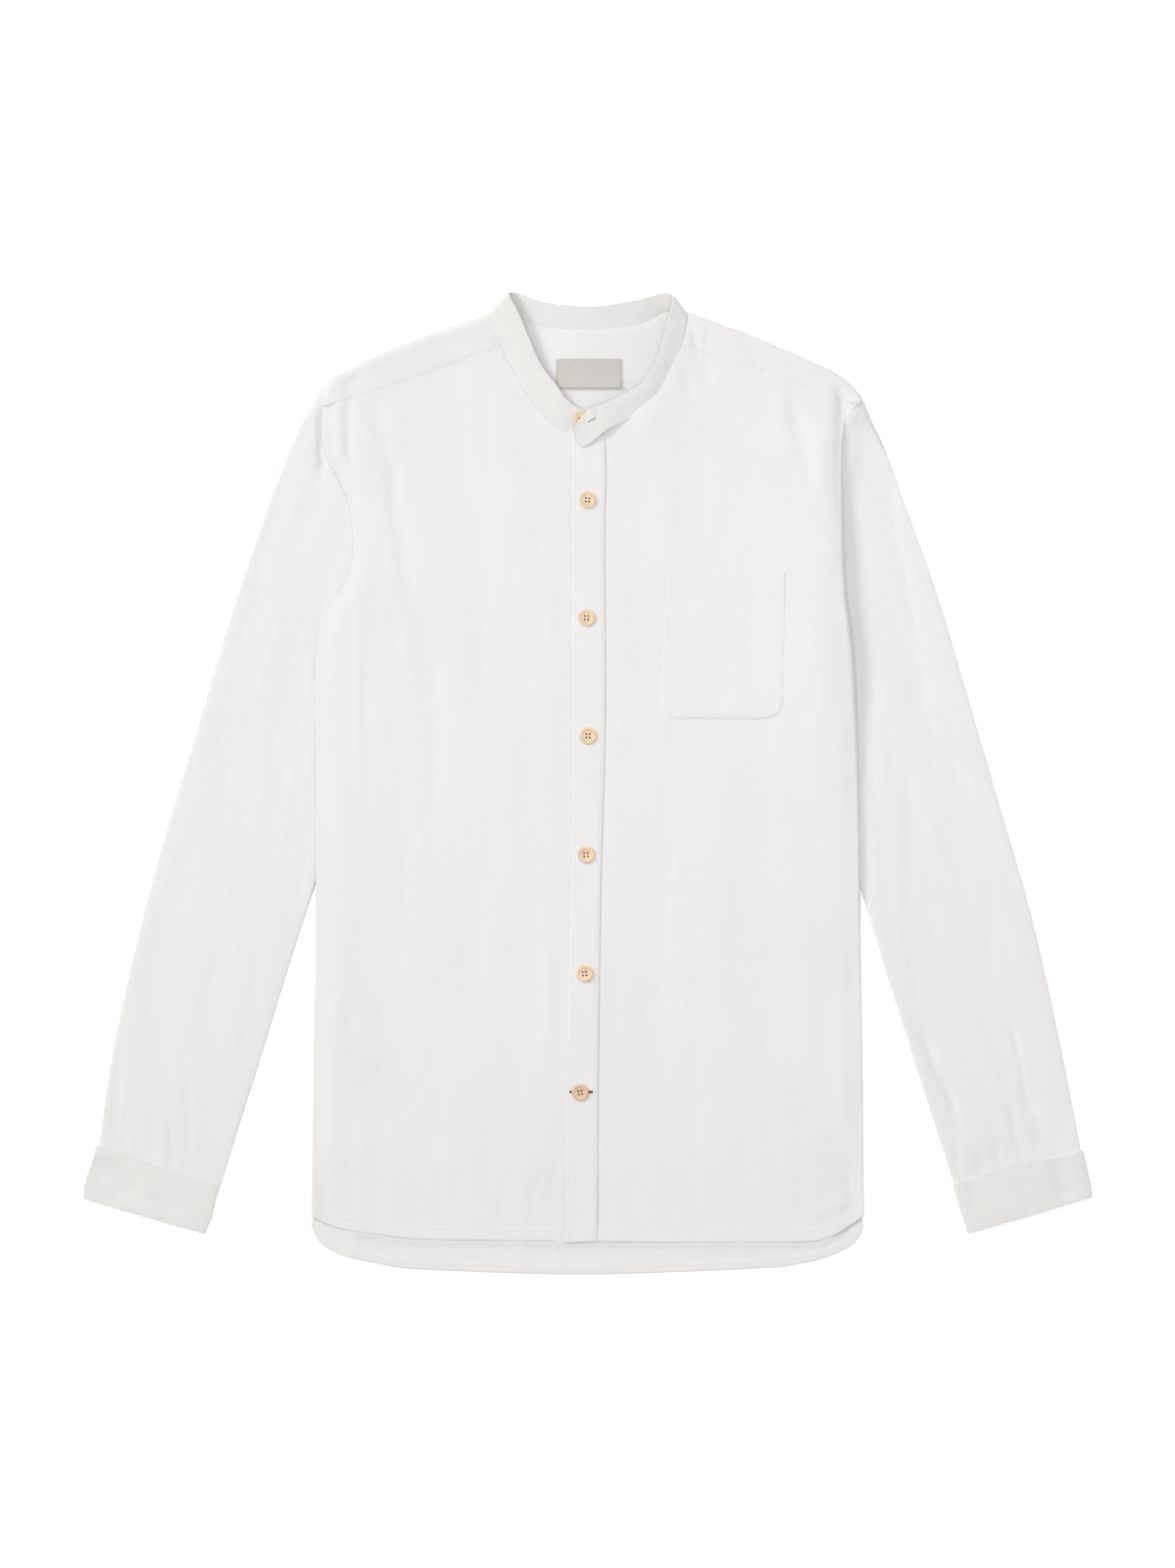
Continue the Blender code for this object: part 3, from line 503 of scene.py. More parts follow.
def along(rows: Sequence, share: Array) -> Array:
    """Rows of a table read at shares of the way along a smooth line through them.

    Args:
        rows: the table, a row of numbers for each place.
        share: where to read, from 0 at the first row to 1 at the last.

    Returns:
        An array with a row's numbers in its last axis.
    """
    table = np.array(rows, float)
    spans = len(table) - 1
    place = np.clip(np.asarray(share, float), 0.0, 1.0) * spans
    span = np.minimum(place.astype(int), spans - 1)
    t = (place - span)[..., None]
    a, b, c, d = (table[np.clip(span + k, 0, spans)] for k in (-1, 0, 1, 2))
    return 0.5 * (2 * b + (c - a) * t + (2 * a - 5 * b + 4 * c - d) * t ** 2
                  + (3 * b - a - 3 * c + d) * t ** 3)


@dataclass(frozen=True)
class SmoothLine:
    """A smooth plan line through a short table of points."""

    rows: tuple

    def points(self, per_span: int = 12) -> Array:
        """Points along the line, a few for each span of the table."""
        return along(self.rows, np.linspace(0.0, 1.0, per_span * (len(self.rows) - 1) + 1))

    def y_at(self, x: Array) -> Array:
        """Y of the line at each x."""
        found = self.points()
        found = found[np.argsort(found[:, 0])]
        return np.interp(x, found[:, 0], found[:, 1])

    def x_at(self, y: Array) -> Array:
        """X of the line at each y."""
        found = self.points()
        found = found[np.argsort(found[:, 1])]
        return np.interp(y, found[:, 1], found[:, 0])


PLACKET_SEAM = SmoothLine(PLACKET_INNER)
PLACKET_EDGE = SmoothLine(PLACKET_FREE)


def fold_rise(folds: Sequence[Fold], x: Array, y: Array, flank: float = 0.0) -> Array:
    """Total rise of a list of folds at plan points.

    Args:
        folds: the folds.
        x: plan positions across.
        y: plan positions down the length.
        flank: how far each fold's line lies to the left of its middle, in widths.

    Returns:
        The rise at each point.
    """
    total = np.zeros(np.broadcast(x, y).shape)
    for fold in folds:
        across, place = np.full(total.shape, np.inf), np.zeros(total.shape)
        points, before = np.array(fold.line, float), 0.0
        for start, run in zip(points, np.diff(points, axis=0)):
            length = np.hypot(*run)
            off_x, off_y = x - start[0] - flank * fold.width, y - start[1]
            share = np.clip((off_x * run[0] + off_y * run[1]) / length ** 2, 0.0, 1.0)
            near = np.hypot(off_x - run[0] * share, off_y - run[1] * share)
            place = np.where(near < across, before + share * length, place)
            across, before = np.minimum(near, across), before + length
        ends = fade(place / before, -0.12, 0.28) * fade(1.0 - place / before, -0.12, 0.28)
        total += fold.rise * ends * hump(across, 0.0, fold.width)
    return total


@dataclass(frozen=True)
class Rumple:
    """Small uneven ripples of washed cloth, the same on every run."""

    seed: int
    cells: int = 97

    def at(self, x: Array, y: Array, across: float, down: float) -> Array:
        """Ripple from -1 to 1 at plan points, with soft cells of a given size.

        Args:
            x: plan positions across.
            y: plan positions down the length.
            across: width of a cell.
            down: length of a cell.

        Returns:
            The ripple at each point.
        """
        lattice = np.random.default_rng(self.seed).uniform(-1.0, 1.0, (self.cells, self.cells))
        u, v = np.asarray(x, float) / across + 40.0, np.asarray(y, float) / down + 40.0
        i, j = np.floor(u).astype(int), np.floor(v).astype(int)
        s, t = fade(u - i, 0.0, 1.0), fade(v - j, 0.0, 1.0)
        corner = [[lattice[(i + a) % self.cells, (j + b) % self.cells] for b in (0, 1)]
                  for a in (0, 1)]
        return lerp(lerp(corner[0][0], corner[1][0], s), lerp(corner[0][1], corner[1][1], s), t)

    def cloth(self, x: Array, y: Array) -> Array:
        """Ripples of shirting in millimetres: long ones down the grain and short ones on them."""
        return (0.2 * self.at(x, y, 24.0, 150.0) + 0.07 * self.at(x + 300.0, y, 9.5, 60.0)
                + 0.06 * self.at(x, y + 500.0, 13.0, 11.0))


FRONT_RUMPLE = Rumple(11)
SLEEVE_RUMPLE = Rumple(23)


def uneven(folds: Sequence[Fold], x: Array, y: Array) -> Array:
    """Rise of creases that waver a little and come and go along their length."""
    sway = 1.8 * FRONT_RUMPLE.at(x + 900.0, y, 34.0, 26.0)
    sway = sway + 0.9 * FRONT_RUMPLE.at(x + 500.0, y, 12.0, 9.0)
    depth = 1.0 + 0.35 * FRONT_RUMPLE.at(x, y + 900.0, 16.0, 15.0)
    return depth * fold_rise(folds, x + sway, y, 0.7)


def front_height(x: Array, y: Array) -> Array:
    """Height of the closed fronts with their large folds, before creases and ripples."""
    half = np.abs(x)
    side = SLEEVE_RISE * fade(half, *SIDE_RISE_X) * fade(y, *SIDE_RISE_Y)
    along_edge = fade(y, *RIGHT_EDGE_Y) * fade(y, *RIGHT_EDGE_TOP_Y)
    along_edge = along_edge * lerp(1.0, RIGHT_EDGE_HIGH_SHARE, fade(y, *RIGHT_EDGE_HIGH_Y))
    side = side + np.where(x > 0, RIGHT_EDGE_RISE * fade(half, *RIGHT_EDGE_X) * along_edge, 0.0)
    shoulder = SHOULDER_RISE * fade(y + SHOULDER_SLOPE * half, *SHOULDER_RISE_Y)
    shoulder = shoulder * (1.0 - ARMHOLE_SINK_SHARE * fade(x, *ARMHOLE_SINK_X))
    neck = NECK_RISE * fade(np.hypot(x, y - NECK_CENTRE_Y), *NECK_RISE_REACH)
    body = BODY_HEIGHT + BODY_RISE * fade(y, *BODY_RISE_Y) + fold_rise(LARGE_FOLDS, x, y)
    return body + np.sqrt(side ** 2 + shoulder ** 2 + neck ** 2)


def front_surface(x: Array, y: Array) -> Array:
    """Height of the cloth of the fronts, with its creases and ripples."""
    return front_height(x, y) + uneven(FRONT_CREASES, x, y) + FRONT_RUMPLE.cloth(x, y)


@dataclass(frozen=True)
class Hem:
    """The relief of a turned and stitched hem.

    Attributes:
        width: its width.
        pucker: height of the puckers along it.
        pucker_cell: length of a pucker.
        pucker_line: distance of their middle above the edge.
        pucker_reach: how far they run out.
        groove: depth of the pull along its stitches.
        stitch_line: distance of the stitches above the edge.
        stitch_end: they end this far from the shirt's middle.
        step: how much the doubled cloth stands up.
        blend: the step ends this far above the hem's width.
    """

    width: float
    pucker: float
    pucker_cell: float
    pucker_line: float
    pucker_reach: float
    groove: float
    stitch_line: float
    stitch_end: float
    step: float = 0.35
    blend: float = 0.9

    def rise(self, x: Array, above: Array) -> Array:
        """Rise of the cloth at x, a distance above the hem's edge."""
        doubled = self.step * (1.0 - fade(above, self.width - 0.6, self.width + self.blend))
        pulled = self.groove * hump(above, self.width - 1.9, 1.2)
        pucker = FRONT_RUMPLE.at(x + 0.5 * above, np.zeros_like(x), self.pucker_cell, 9.0)
        return doubled - pulled + self.pucker * pucker * hump(above, self.pucker_line,
                                                              self.pucker_reach)

    def stitches(self, line: Array) -> Array:
        """Plan points of the stitches above a line of the hem's edge."""
        return line[np.abs(line[:, 0]) < self.stitch_end] + (0.0, self.stitch_line)


FRONT_TURNED_HEM = Hem(9.6, 0.32, 6.5, 6.72, 9.0, 0.25, 7.8, 221.0)
TAIL_TURNED_HEM = Hem(7.0, 0.3, 5.5, 7.0, 8.0, 0.0, 5.4, 222.0, blend=0.8)


def hem_settle(x: Array, above: Array) -> Array:
    """How far a front settles towards the tail, a distance above its hem."""
    inside = FRONT_HEM[-1][0] - np.abs(x)
    return HEM_DROP * (1.0 - fade(above, 0.0, HEM_REACH)) * fade(inside, 0.0, HEM_SIDE)


def steps_between(start: float, end: float, spacing: float) -> Array:
    """Even steps from start to end, no wider than the spacing."""
    return np.linspace(start, end, max(2, math.ceil(abs(end - start) / spacing) + 1))


def joined(*parts: Array) -> Array:
    """Sorted values of several lists, each value once."""
    return np.unique(np.round(np.concatenate(parts), 7))


# ---------------------------------------------------------------- finishes

class Sockets(Enum):
    """Kinds of socket that a node group can have."""

    VALUE = "NodeSocketFloat"
    VECTOR = "NodeSocketVector"
    COLOUR = "NodeSocketColor"


@dataclass
class NodeSheet:
    """Adds nodes to one node tree and links them.

    Attributes:
        tree: the material's or the group's node tree.
    """

    tree: NodeTree

    def add(self, kind: str, settings: Optional[dict] = None, **inputs) -> Node:
        """Add a node.

        Args:
            kind: Blender's name of the node type.
            settings: properties of the node.
            **inputs: values or sockets by input name, with _ for a space.

        Returns:
            The new node.
        """
        node = self.tree.nodes.new(kind)
        for name, value in (settings or {}).items():
            setattr(node, name, value)
        for name, value in inputs.items():
            self.feed(node.inputs[name.replace("_", " ")], value)
        return node

    def feed(self, socket: NodeSocket, value: object) -> None:
        """Link a socket to another one, or set its value."""
        if isinstance(value, NodeSocket):
            self.tree.links.new(value, socket)
        else:
            socket.default_value = value

    def maths(self, operation: str, *values: object) -> NodeSocket:
        """Result of a math node on one to three values."""
        node = self.add("ShaderNodeMath", {"operation": operation})
        for socket, value in zip(node.inputs, values):
            self.feed(socket, value)
        return node.outputs[0]

    def noise(self, vector: object, scale: Sequence[float], detail: float = 2.0,
              offset: Sequence[float] = (0.0, 0.0, 0.0)) -> NodeSocket:
        """A noise from 0 to 1.

        Args:
            vector: where it is read.
            scale: how fine it is along each axis.
            detail: how many finer layers it has.
            offset: moves it.

        Returns:
            The noise.
        """
        mapping = self.add("ShaderNodeMapping", Vector=vector, Scale=scale, Location=offset)
        noise = self.add("ShaderNodeTexNoise", {"noise_dimensions": "3D"},
                         Vector=mapping.outputs[0], Scale=1.0, Detail=detail, Roughness=0.55)
        return noise.outputs[0]

    def spread(self, value: object, low: float, high: float, new_low: float,
               new_high: float) -> NodeSocket:
        """A value moved from one range to another, and held inside the new one.

        Args:
            value: the value.
            low: start of its range.
            high: end of its range.
            new_low: start of the new range.
            new_high: end of the new range.

        Returns:
            The moved value.
        """
        node = self.add("ShaderNodeMapRange", {"clamp": True}, Value=value, From_Min=low,
                        From_Max=high, To_Min=new_low, To_Max=new_high)
        return node.outputs[0]

    def two_tones(self, share: object, dark: Sequence[float], light: Sequence[float]) -> NodeSocket:
        """Colour between two tones.

        Args:
            share: share of the light tone.
            dark: the dark tone.
            light: the light tone.

        Returns:
            The colour.
        """
        mix = self.add("ShaderNodeMix", {"data_type": "RGBA"})
        for place, value in ((0, share), (6, (*dark, 1.0)), (7, (*light, 1.0))):
            self.feed(mix.inputs[place], value)
        return mix.outputs[2]

    def bump(self, height: object, strength: float, distance: float) -> NodeSocket:
        """Normal of a fine relief, its distance in metres."""
        node = self.add("ShaderNodeBump", Height=height, Strength=strength, Distance=distance)
        return node.outputs[0]


def new_group(name: str, inputs: dict, outputs: dict) -> tuple[NodeSheet, Node, Node]:
    """Start a shader node group.

    Args:
        name: the group's name.
        inputs: kind of each input socket by name.
        outputs: kind of each output socket by name.

    Returns:
        The sheet to add nodes to, the group's input node and its output node.
    """
    tree = bpy.data.node_groups.new(name, "ShaderNodeTree")
    for label, kind in inputs.items():
        tree.interface.new_socket(label, in_out="INPUT", socket_type=kind.value)
    for label, kind in outputs.items():
        tree.interface.new_socket(label, in_out="OUTPUT", socket_type=kind.value)
    sheet = NodeSheet(tree)
    return sheet, sheet.add("NodeGroupInput"), sheet.add("NodeGroupOutput")


def slub_weave() -> NodeTree:
    """Group for plain-woven linen: fine threads both ways, thick slubs and faint streaks.

    Returns:
        The node group, with a tone and a height that change over the cloth. The tone is lighter on
        the raised threads and darker between them, as painted shade in the weave's hollows.
    """
    sheet, given, made = new_group(
        "Slub weave",
        {"Grain": Sockets.VECTOR, "Slubs": Sockets.VALUE, "Streaks": Sockets.VALUE},
        {"Tone": Sockets.VALUE, "Height": Sockets.VALUE})
    grain = given.outputs["Grain"]
    warp = sheet.noise(grain, (1500.0, 70.0, 1.0))
    weft = sheet.noise(grain, (70.0, 1500.0, 1.0), offset=(3.0, 7.0, 0.0))
    warp_slub = sheet.spread(sheet.noise(grain, (330.0, 11.0, 1.0), 3.0), 0.56, 0.74, 0.0, 1.0)
    weft_slub = sheet.spread(sheet.noise(grain, (13.0, 360.0, 1.0), 3.0, (5.0, 2.0, 0.0)),
                             0.58, 0.76, 0.0, 1.0)
    wide = sheet.noise(grain, (62.0, 4.0, 1.0), 2.0, (1.0, 9.0, 0.0))
    cloudy = sheet.noise(grain, (11.0, 9.0, 1.0), 2.0, (4.0, 4.0, 0.0))
    threads = sheet.maths("ADD", warp, weft)
    slubs = sheet.maths("MULTIPLY", sheet.maths("ADD", warp_slub, weft_slub),
                        given.outputs["Slubs"])
    height = sheet.maths("MULTIPLY_ADD", threads, 0.5, sheet.maths("MULTIPLY", slubs, 0.55))
    sheet.feed(made.inputs["Height"], height)
    streaks = sheet.maths("MULTIPLY", sheet.maths("SUBTRACT", wide, 0.5),
                          given.outputs["Streaks"])
    clouds = sheet.maths("MULTIPLY", sheet.maths("SUBTRACT", cloudy, 0.5), 0.5)
    # Painted shade: the tone follows the threads' height, lighter on the raised threads and darker in
    # the hollows between them.
    hollow_shade = sheet.maths("MULTIPLY", sheet.maths("SUBTRACT", threads, 1.0), 0.3)
    tone = sheet.maths("ADD", sheet.maths("ADD", streaks, clouds), hollow_shade)
    tone = sheet.maths("ADD", tone, sheet.maths("MULTIPLY", slubs, -0.12))
    sheet.feed(made.inputs["Tone"], sheet.maths("ADD", tone, 0.5))
    return sheet.tree


def new_material(name: str, roughness: float) -> tuple[Material, NodeSheet, Node]:
    """An empty material with its Principled BSDF.

    Args:
        name: the material's name.
        roughness: its even roughness.

    Returns:
        The material, the sheet of its nodes, and the shader.
    """
    material = bpy.data.materials.new(name)
    material.use_nodes = True
    shader = material.node_tree.nodes["Principled BSDF"]
    shader.inputs["Roughness"].default_value = roughness
    return material, NodeSheet(material.node_tree), shader


@dataclass(frozen=True)
class ClothFinish:
    """Off-white linen and cotton shirting.

    Attributes:
        name: the material's name.
        light: colour of the raised threads, with their painted light, and of the lighter streaks and
            clouds.
        dark: colour of the thin places, darker streaks and clouds, and of the painted shade in the
            weave's hollows.
        dark: colour of the hollows and thin places.
        slubs: strength of the thick threads.
        streaks: strength of the faint streaks down the grain.
        relief: how far the weave stands up, in metres.
    """

    name: str
    light: tuple
    dark: tuple
    slubs: float = 1.0
    streaks: float = 0.6
    relief: float = 0.0001

    def make(self, weave: NodeTree) -> Material:
        """Make the material round the shared weave group."""
        material, sheet, shader = new_material(self.name, 0.9)
        grain = sheet.add("ShaderNodeAttribute", {"attribute_name": "grain"}).outputs["Vector"]
        group = sheet.add("ShaderNodeGroup", {"node_tree": weave}, Grain=grain,
                          Slubs=self.slubs, Streaks=self.streaks)
        sheet.feed(shader.inputs["Base Color"],
                   sheet.two_tones(group.outputs["Tone"], self.dark, self.light))
        sheet.feed(shader.inputs["Roughness"],
                   sheet.spread(group.outputs["Height"], 0.2, 1.2, 0.97, 0.82))
        sheet.feed(shader.inputs["Normal"],
                   sheet.bump(group.outputs["Height"], 0.5, self.relief))
        shader.inputs["Sheen Weight"].default_value = 0.12
        shader.inputs["Sheen Roughness"].default_value = 0.5
        shader.inputs["Specular IOR Level"].default_value = 0.25
        return material


@dataclass(frozen=True)
class TapeFinish:
    """Warm grey woven tape of the bare neck label."""

    name: str
    light: tuple
    dark: tuple

    def make(self) -> Material:
        """Make the material: fine ribs across the tape and a soft tone."""
        material, sheet, shader = new_material(self.name, 0.75)
        place = sheet.add("ShaderNodeTexCoord").outputs["Object"]
        ribs = sheet.noise(place, (140.0, 2600.0, 1.0))
        threads = sheet.noise(place, (2400.0, 260.0, 1.0), offset=(2.0, 5.0, 0.0))
        height = sheet.maths("ADD", ribs, threads)
        share = sheet.spread(height, 0.6, 1.4, 0.0, 1.0)
        sheet.feed(shader.inputs["Base Color"], sheet.two_tones(share, self.dark, self.light))
        sheet.feed(shader.inputs["Normal"], sheet.bump(height, 0.5, 0.00012))
        return material


@dataclass(frozen=True)
class ButtonFinish:
    """Satin nut-like button with a fine cloudy grain."""

    name: str
    light: tuple
    dark: tuple

    def make(self) -> Material:
        """Make the material: a wavy grain in two tones under a thin polish."""
        material, sheet, shader = new_material(self.name, 0.42)
        place = sheet.add("ShaderNodeTexCoord").outputs["Object"]
        cloudy = sheet.noise(place, (160.0, 420.0, 160.0), 4.0)
        specks = sheet.noise(place, (1500.0, 1500.0, 1500.0), 2.0)
        tone = sheet.maths("MULTIPLY_ADD", specks, 0.25, sheet.maths("MULTIPLY", cloudy, 0.8))
        share = sheet.spread(tone, 0.3, 0.75, 0.0, 1.0)
        sheet.feed(shader.inputs["Base Color"], sheet.two_tones(share, self.dark, self.light))
        sheet.feed(shader.inputs["Roughness"], sheet.spread(specks, 0.3, 0.7, 0.34, 0.5))
        sheet.feed(shader.inputs["Normal"], sheet.bump(specks, 0.25, 0.00006))
        shader.inputs["Coat Weight"].default_value = 0.15
        shader.inputs["Coat Roughness"].default_value = 0.3
        return material


@dataclass(frozen=True)
class ThreadFinish:
    """Twisted sewing thread."""

    name: str
    light: tuple
    dark: tuple

    def make(self) -> Material:
        """Make the material: a fine twist in two tones."""
        material, sheet, shader = new_material(self.name, 0.6)
        place = sheet.add("ShaderNodeTexCoord").outputs["Object"]
        twist = sheet.noise(place, (2600.0, 2600.0, 2600.0), 1.0)
        share = sheet.spread(twist, 0.35, 0.65, 0.0, 1.0)
        sheet.feed(shader.inputs["Base Color"], sheet.two_tones(share, self.dark, self.light))
        sheet.feed(shader.inputs["Normal"], sheet.bump(twist, 0.4, 0.00008))
        shader.inputs["Sheen Weight"].default_value = 0.1
        return material


@dataclass
class Wardrobe:
    """Every finish of the shirt, made once."""

    shirting: Material
    firm: Material
    tape: Material
    button: Material
    low_button: Material
    thread: Material
    tape_thread: Material
    wine_thread: Material
    brown_thread: Material

    @classmethod
    def make(cls) -> "Wardrobe":
        """Make all the finishes."""
        weave = slub_weave()
        return cls(
            shirting=ClothFinish("linen_shirting", (0.858, 0.849, 0.843),
                                 (0.776, 0.762, 0.749)).make(weave),
            # Cuffs and band: fewer slubs and a finer relief for the stiffer interlined cloth. The
            # colours are a few percent darker than the shirting's, as painted shade of the dimmer
            # light on the cuffs.
            firm=ClothFinish("interlined_shirting_shaded", (0.829, 0.817, 0.803), (0.753, 0.737, 0.717),
                             0.8, 0.5, 0.00008).make(weave),
            tape=TapeFinish("label_tape_weave", (0.66, 0.628, 0.592), (0.515, 0.489, 0.459)).make(),
            button=ButtonFinish("corozo_cream", (0.86, 0.68, 0.47), (0.74, 0.52, 0.31)).make(),
            low_button=ButtonFinish("corozo_rose", (0.80, 0.58, 0.41), (0.66, 0.41, 0.26)).make(),
            thread=ThreadFinish("thread_white", (0.86, 0.845, 0.81), (0.7, 0.68, 0.64)).make(),
            tape_thread=ThreadFinish("thread_grey", (0.62, 0.6, 0.57), (0.42, 0.4, 0.38)).make(),
            wine_thread=ThreadFinish("thread_wine", (0.16, 0.012, 0.035),
                                     (0.06, 0.004, 0.012)).make(),
            brown_thread=ThreadFinish("thread_brown", (0.36, 0.17, 0.13),
                                      (0.2, 0.08, 0.06)).make())


# ---------------------------------------------------------------- making pieces

def finish_piece(name: str, shape: BMesh, material: Material, smooth_angle: float = 50.0) -> Object:
    """Make one object of a bmesh, riding on the shirt's body.

    Args:
        name: the piece's name.
        shape: its shape, in metres; it is freed.
        material: its finish.
        smooth_angle: edges sharper than this many degrees stay crisp.

    Returns:
        The new object.
    """
    mesh = bpy.data.meshes.new(name)
    shape.to_mesh(mesh)
    shape.free()
    mesh.materials.append(material)
    mesh.shade_smooth()
    mesh.set_sharp_from_angle(angle=math.radians(smooth_angle))
    piece = bpy.data.objects.new(name, mesh)
    bpy.context.scene.collection.objects.link(piece)
    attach(piece, BODY)
    return piece


@dataclass
class ClothWall:
    """One piece of cloth: a fine grid laid in place, then given its thickness.

    Attributes:
        name: the piece's name.
        place: gives x, y and z of the outer face for arrays of column and row values.
        columns: the values that columns are read at.
        rows: the values that rows are read at.
        wall: thickness of the cloth.
        tube: the first and last columns are the same line.
        flip: turn the faces, so that they point outwards.
        keep: says whether the cell at a middle column and row is cloth.
        rounding: how far the cut edges are rounded.
        outside: how far the outer face stands out from the placed grid.
    """

    name: str
    place: Placer
    columns: Array
    rows: Array
    wall: float
    tube: bool = False
    flip: bool = False
    keep: Optional[Callable[[float, float], bool]] = None
    rounding: float = 0.22
    outside: float = 0.0

    def grain(self, points: Array) -> Array:
        """Distances across and along the cloth, in metres, at every grid point."""
        across = np.linalg.norm(np.diff(points, axis=1), axis=2)
        down = np.linalg.norm(np.diff(points, axis=0), axis=2)
        u = np.pad(np.cumsum(across, axis=1), ((0, 0), (1, 0)))
        v = np.pad(np.cumsum(down, axis=0), ((1, 0), (0, 0)))
        middle = u.shape[1] // 2
        return np.stack([u - u[:, middle:middle + 1], v, np.zeros_like(u)], axis=2)

    def build(self, material: Material) -> Object:
        """Build the piece with its finish."""
        c, r = np.meshgrid(self.columns, self.rows)
        points = np.stack([np.broadcast_to(axis, c.shape) for axis in self.place(c, r)], axis=2)
        points = points * MM
        grain = self.grain(points)
        wide, long = len(self.columns) - 1, len(self.rows) - 1
        shape = bmesh.new()
        bmesh.ops.create_grid(shape, x_segments=wide, y_segments=long, size=0.5)
        layer = shape.verts.layers.float_vector.new("grain")
        if self.keep:
            self.cut_away(shape, wide, long)
        for vert in shape.verts:
            i, j = round((vert.co.x + 0.5) * wide), round((vert.co.y + 0.5) * long)
            vert[layer] = grain[j, i]
            vert.co = points[j, i]
        if self.tube:
            bmesh.ops.remove_doubles(shape, verts=shape.verts, dist=0.000005)
        if self.flip:
            bmesh.ops.reverse_faces(shape, faces=shape.faces)
        shape.normal_update()
        if self.outside:
            for vert in shape.verts:
                vert.co += vert.normal * self.outside * MM
            shape.normal_update()
        bmesh.ops.solidify(shape, geom=shape.faces, thickness=self.wall * MM)
        for vert in shape.verts:
            vert.co.z = max(vert.co.z, 0.0)
        if self.rounding:
            self.round_edges(shape)
        return finish_piece(self.name, shape, material)

    def cut_away(self, shape: BMesh, wide: int, long: int) -> None:
        """Delete the cells of the grid that aren't cloth."""
        gone = []
        for face in shape.faces:
            centre = face.calc_center_median()
            i, j = int((centre.x + 0.5) * wide), int((centre.y + 0.5) * long)
            column = (self.columns[i] + self.columns[i + 1]) / 2
            if not self.keep(column, (self.rows[j] + self.rows[j + 1]) / 2):
                gone.append(face)
        bmesh.ops.delete(shape, geom=gone, context="FACES")

    def round_edges(self, shape: BMesh) -> None:
        """Round the two long edges of the rim that closes the wall."""
        shape.normal_update()
        limit = math.radians(60.0)
        sharp = [edge for edge in shape.edges
                 if len(edge.link_faces) == 2 and edge.calc_face_angle(0.0) > limit]
        bmesh.ops.bevel(shape, geom=sharp, offset=self.rounding * MM, offset_type="OFFSET",
                        affect="EDGES", segments=1, profile=0.5, material=-1,
                        clamp_overlap=True)


@dataclass
class Touch:
    """Finds points on top of a built piece."""

    piece: Object
    tree: BVHTree = field(init=False)

    def __post_init__(self) -> None:
        """Read the piece's mesh."""
        mesh = self.piece.data
        corners = [vert.co.copy() for vert in mesh.vertices]
        self.tree = BVHTree.FromPolygons(corners, [tuple(face.vertices) for face in mesh.polygons])

    def find(self, x: float, y: float) -> Optional[tuple[Vector, Vector]]:
        """Point and normal where a line straight down meets the piece."""
        start = Vector((x * MM, y * MM, 0.1))
        point, normal, _, _ = self.tree.ray_cast(start, Vector((0, 0, -1)))
        return None if point is None else (point, normal)


@dataclass
class StitchRow:
    """A row of sewing stitches along plan lines on built pieces.

    Attributes:
        name: the piece's name.
        length: length of a stitch.
        pitch: distance from one stitch to the next.
        thick: thickness of the thread.
    """

    name: str
    length: float = 2.3
    pitch: float = 3.0
    thick: float = 0.36
    shape: BMesh = field(default_factory=bmesh.new)

    def sew(self, touch: Touch, line: Array) -> None:
        """Sew along a plan line.

        Args:
            touch: the piece that is sewn.
            line: plan points of the row.
        """
        run = np.r_[0.0, np.cumsum(np.linalg.norm(np.diff(line, axis=0), axis=1))]
        for start in np.arange(self.pitch / 2, run[-1] - self.length, self.pitch):
            ends = [[np.interp(at, run, line[:, axis]) for axis in (0, 1)]
                    for at in (start, start + self.length)]
            found = [touch.find(*end) for end in ends]
            if None in found:
                continue
            (first, normal), (second, _) = found
            along_row = second - first
            if 0.2 * self.length * MM < along_row.length < 2.5 * self.length * MM:
                self.stitch((first + second) / 2, along_row, normal)

    def stitch(self, middle: Vector, along_row: Vector, normal: Vector) -> None:
        """Lay one stitch.

        Args:
            middle: its middle.
            along_row: from its one end to the other.
            normal: the cloth's normal there.
        """
        forward = along_row.normalized()
        side = normal.cross(forward).normalized()
        up = forward.cross(side)
        turn = Matrix((forward, side, up)).transposed().to_4x4()
        size = Matrix.Diagonal((along_row.length / 2, self.thick * MM / 2,
                                self.thick * MM / 2.4, 1.0))
        lift = Matrix.Translation(middle + up * self.thick * MM * 0.12)
        bmesh.ops.create_icosphere(self.shape, subdivisions=1, radius=1.0,
                                   matrix=lift @ turn @ size)

    def finish(self, material: Material, slot: Slot) -> Object:
        """Join the row into one piece."""
        piece = finish_piece(self.name, self.shape, material, 180.0)
        return piece


# ---------------------------------------------------------------- pieces of the shirt

@dataclass(frozen=True)
class Cut:
    """How one piece was cut: its flat size and area in metres, and what it lies on."""

    wide: float
    long: float
    area: float
    on: tuple = ("floor",)


def lay(piece: Object, node: str) -> Object:
    """Hide the frame's node that a finished sheet of cloth stands for, and log the sheet's triangles
    and area.

    Args:
        piece: the finished sheet.
        node: the node of the frame that it stands for.

    Returns:
        The same piece.
    """
    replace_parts(piece, node)
    LOG.info("%s: %d triangles, %.3f square metres", piece.name,
             sum(len(face.vertices) - 2 for face in piece.data.polygons),
             sum(face.area for face in piece.data.polygons) / 2)
    return piece


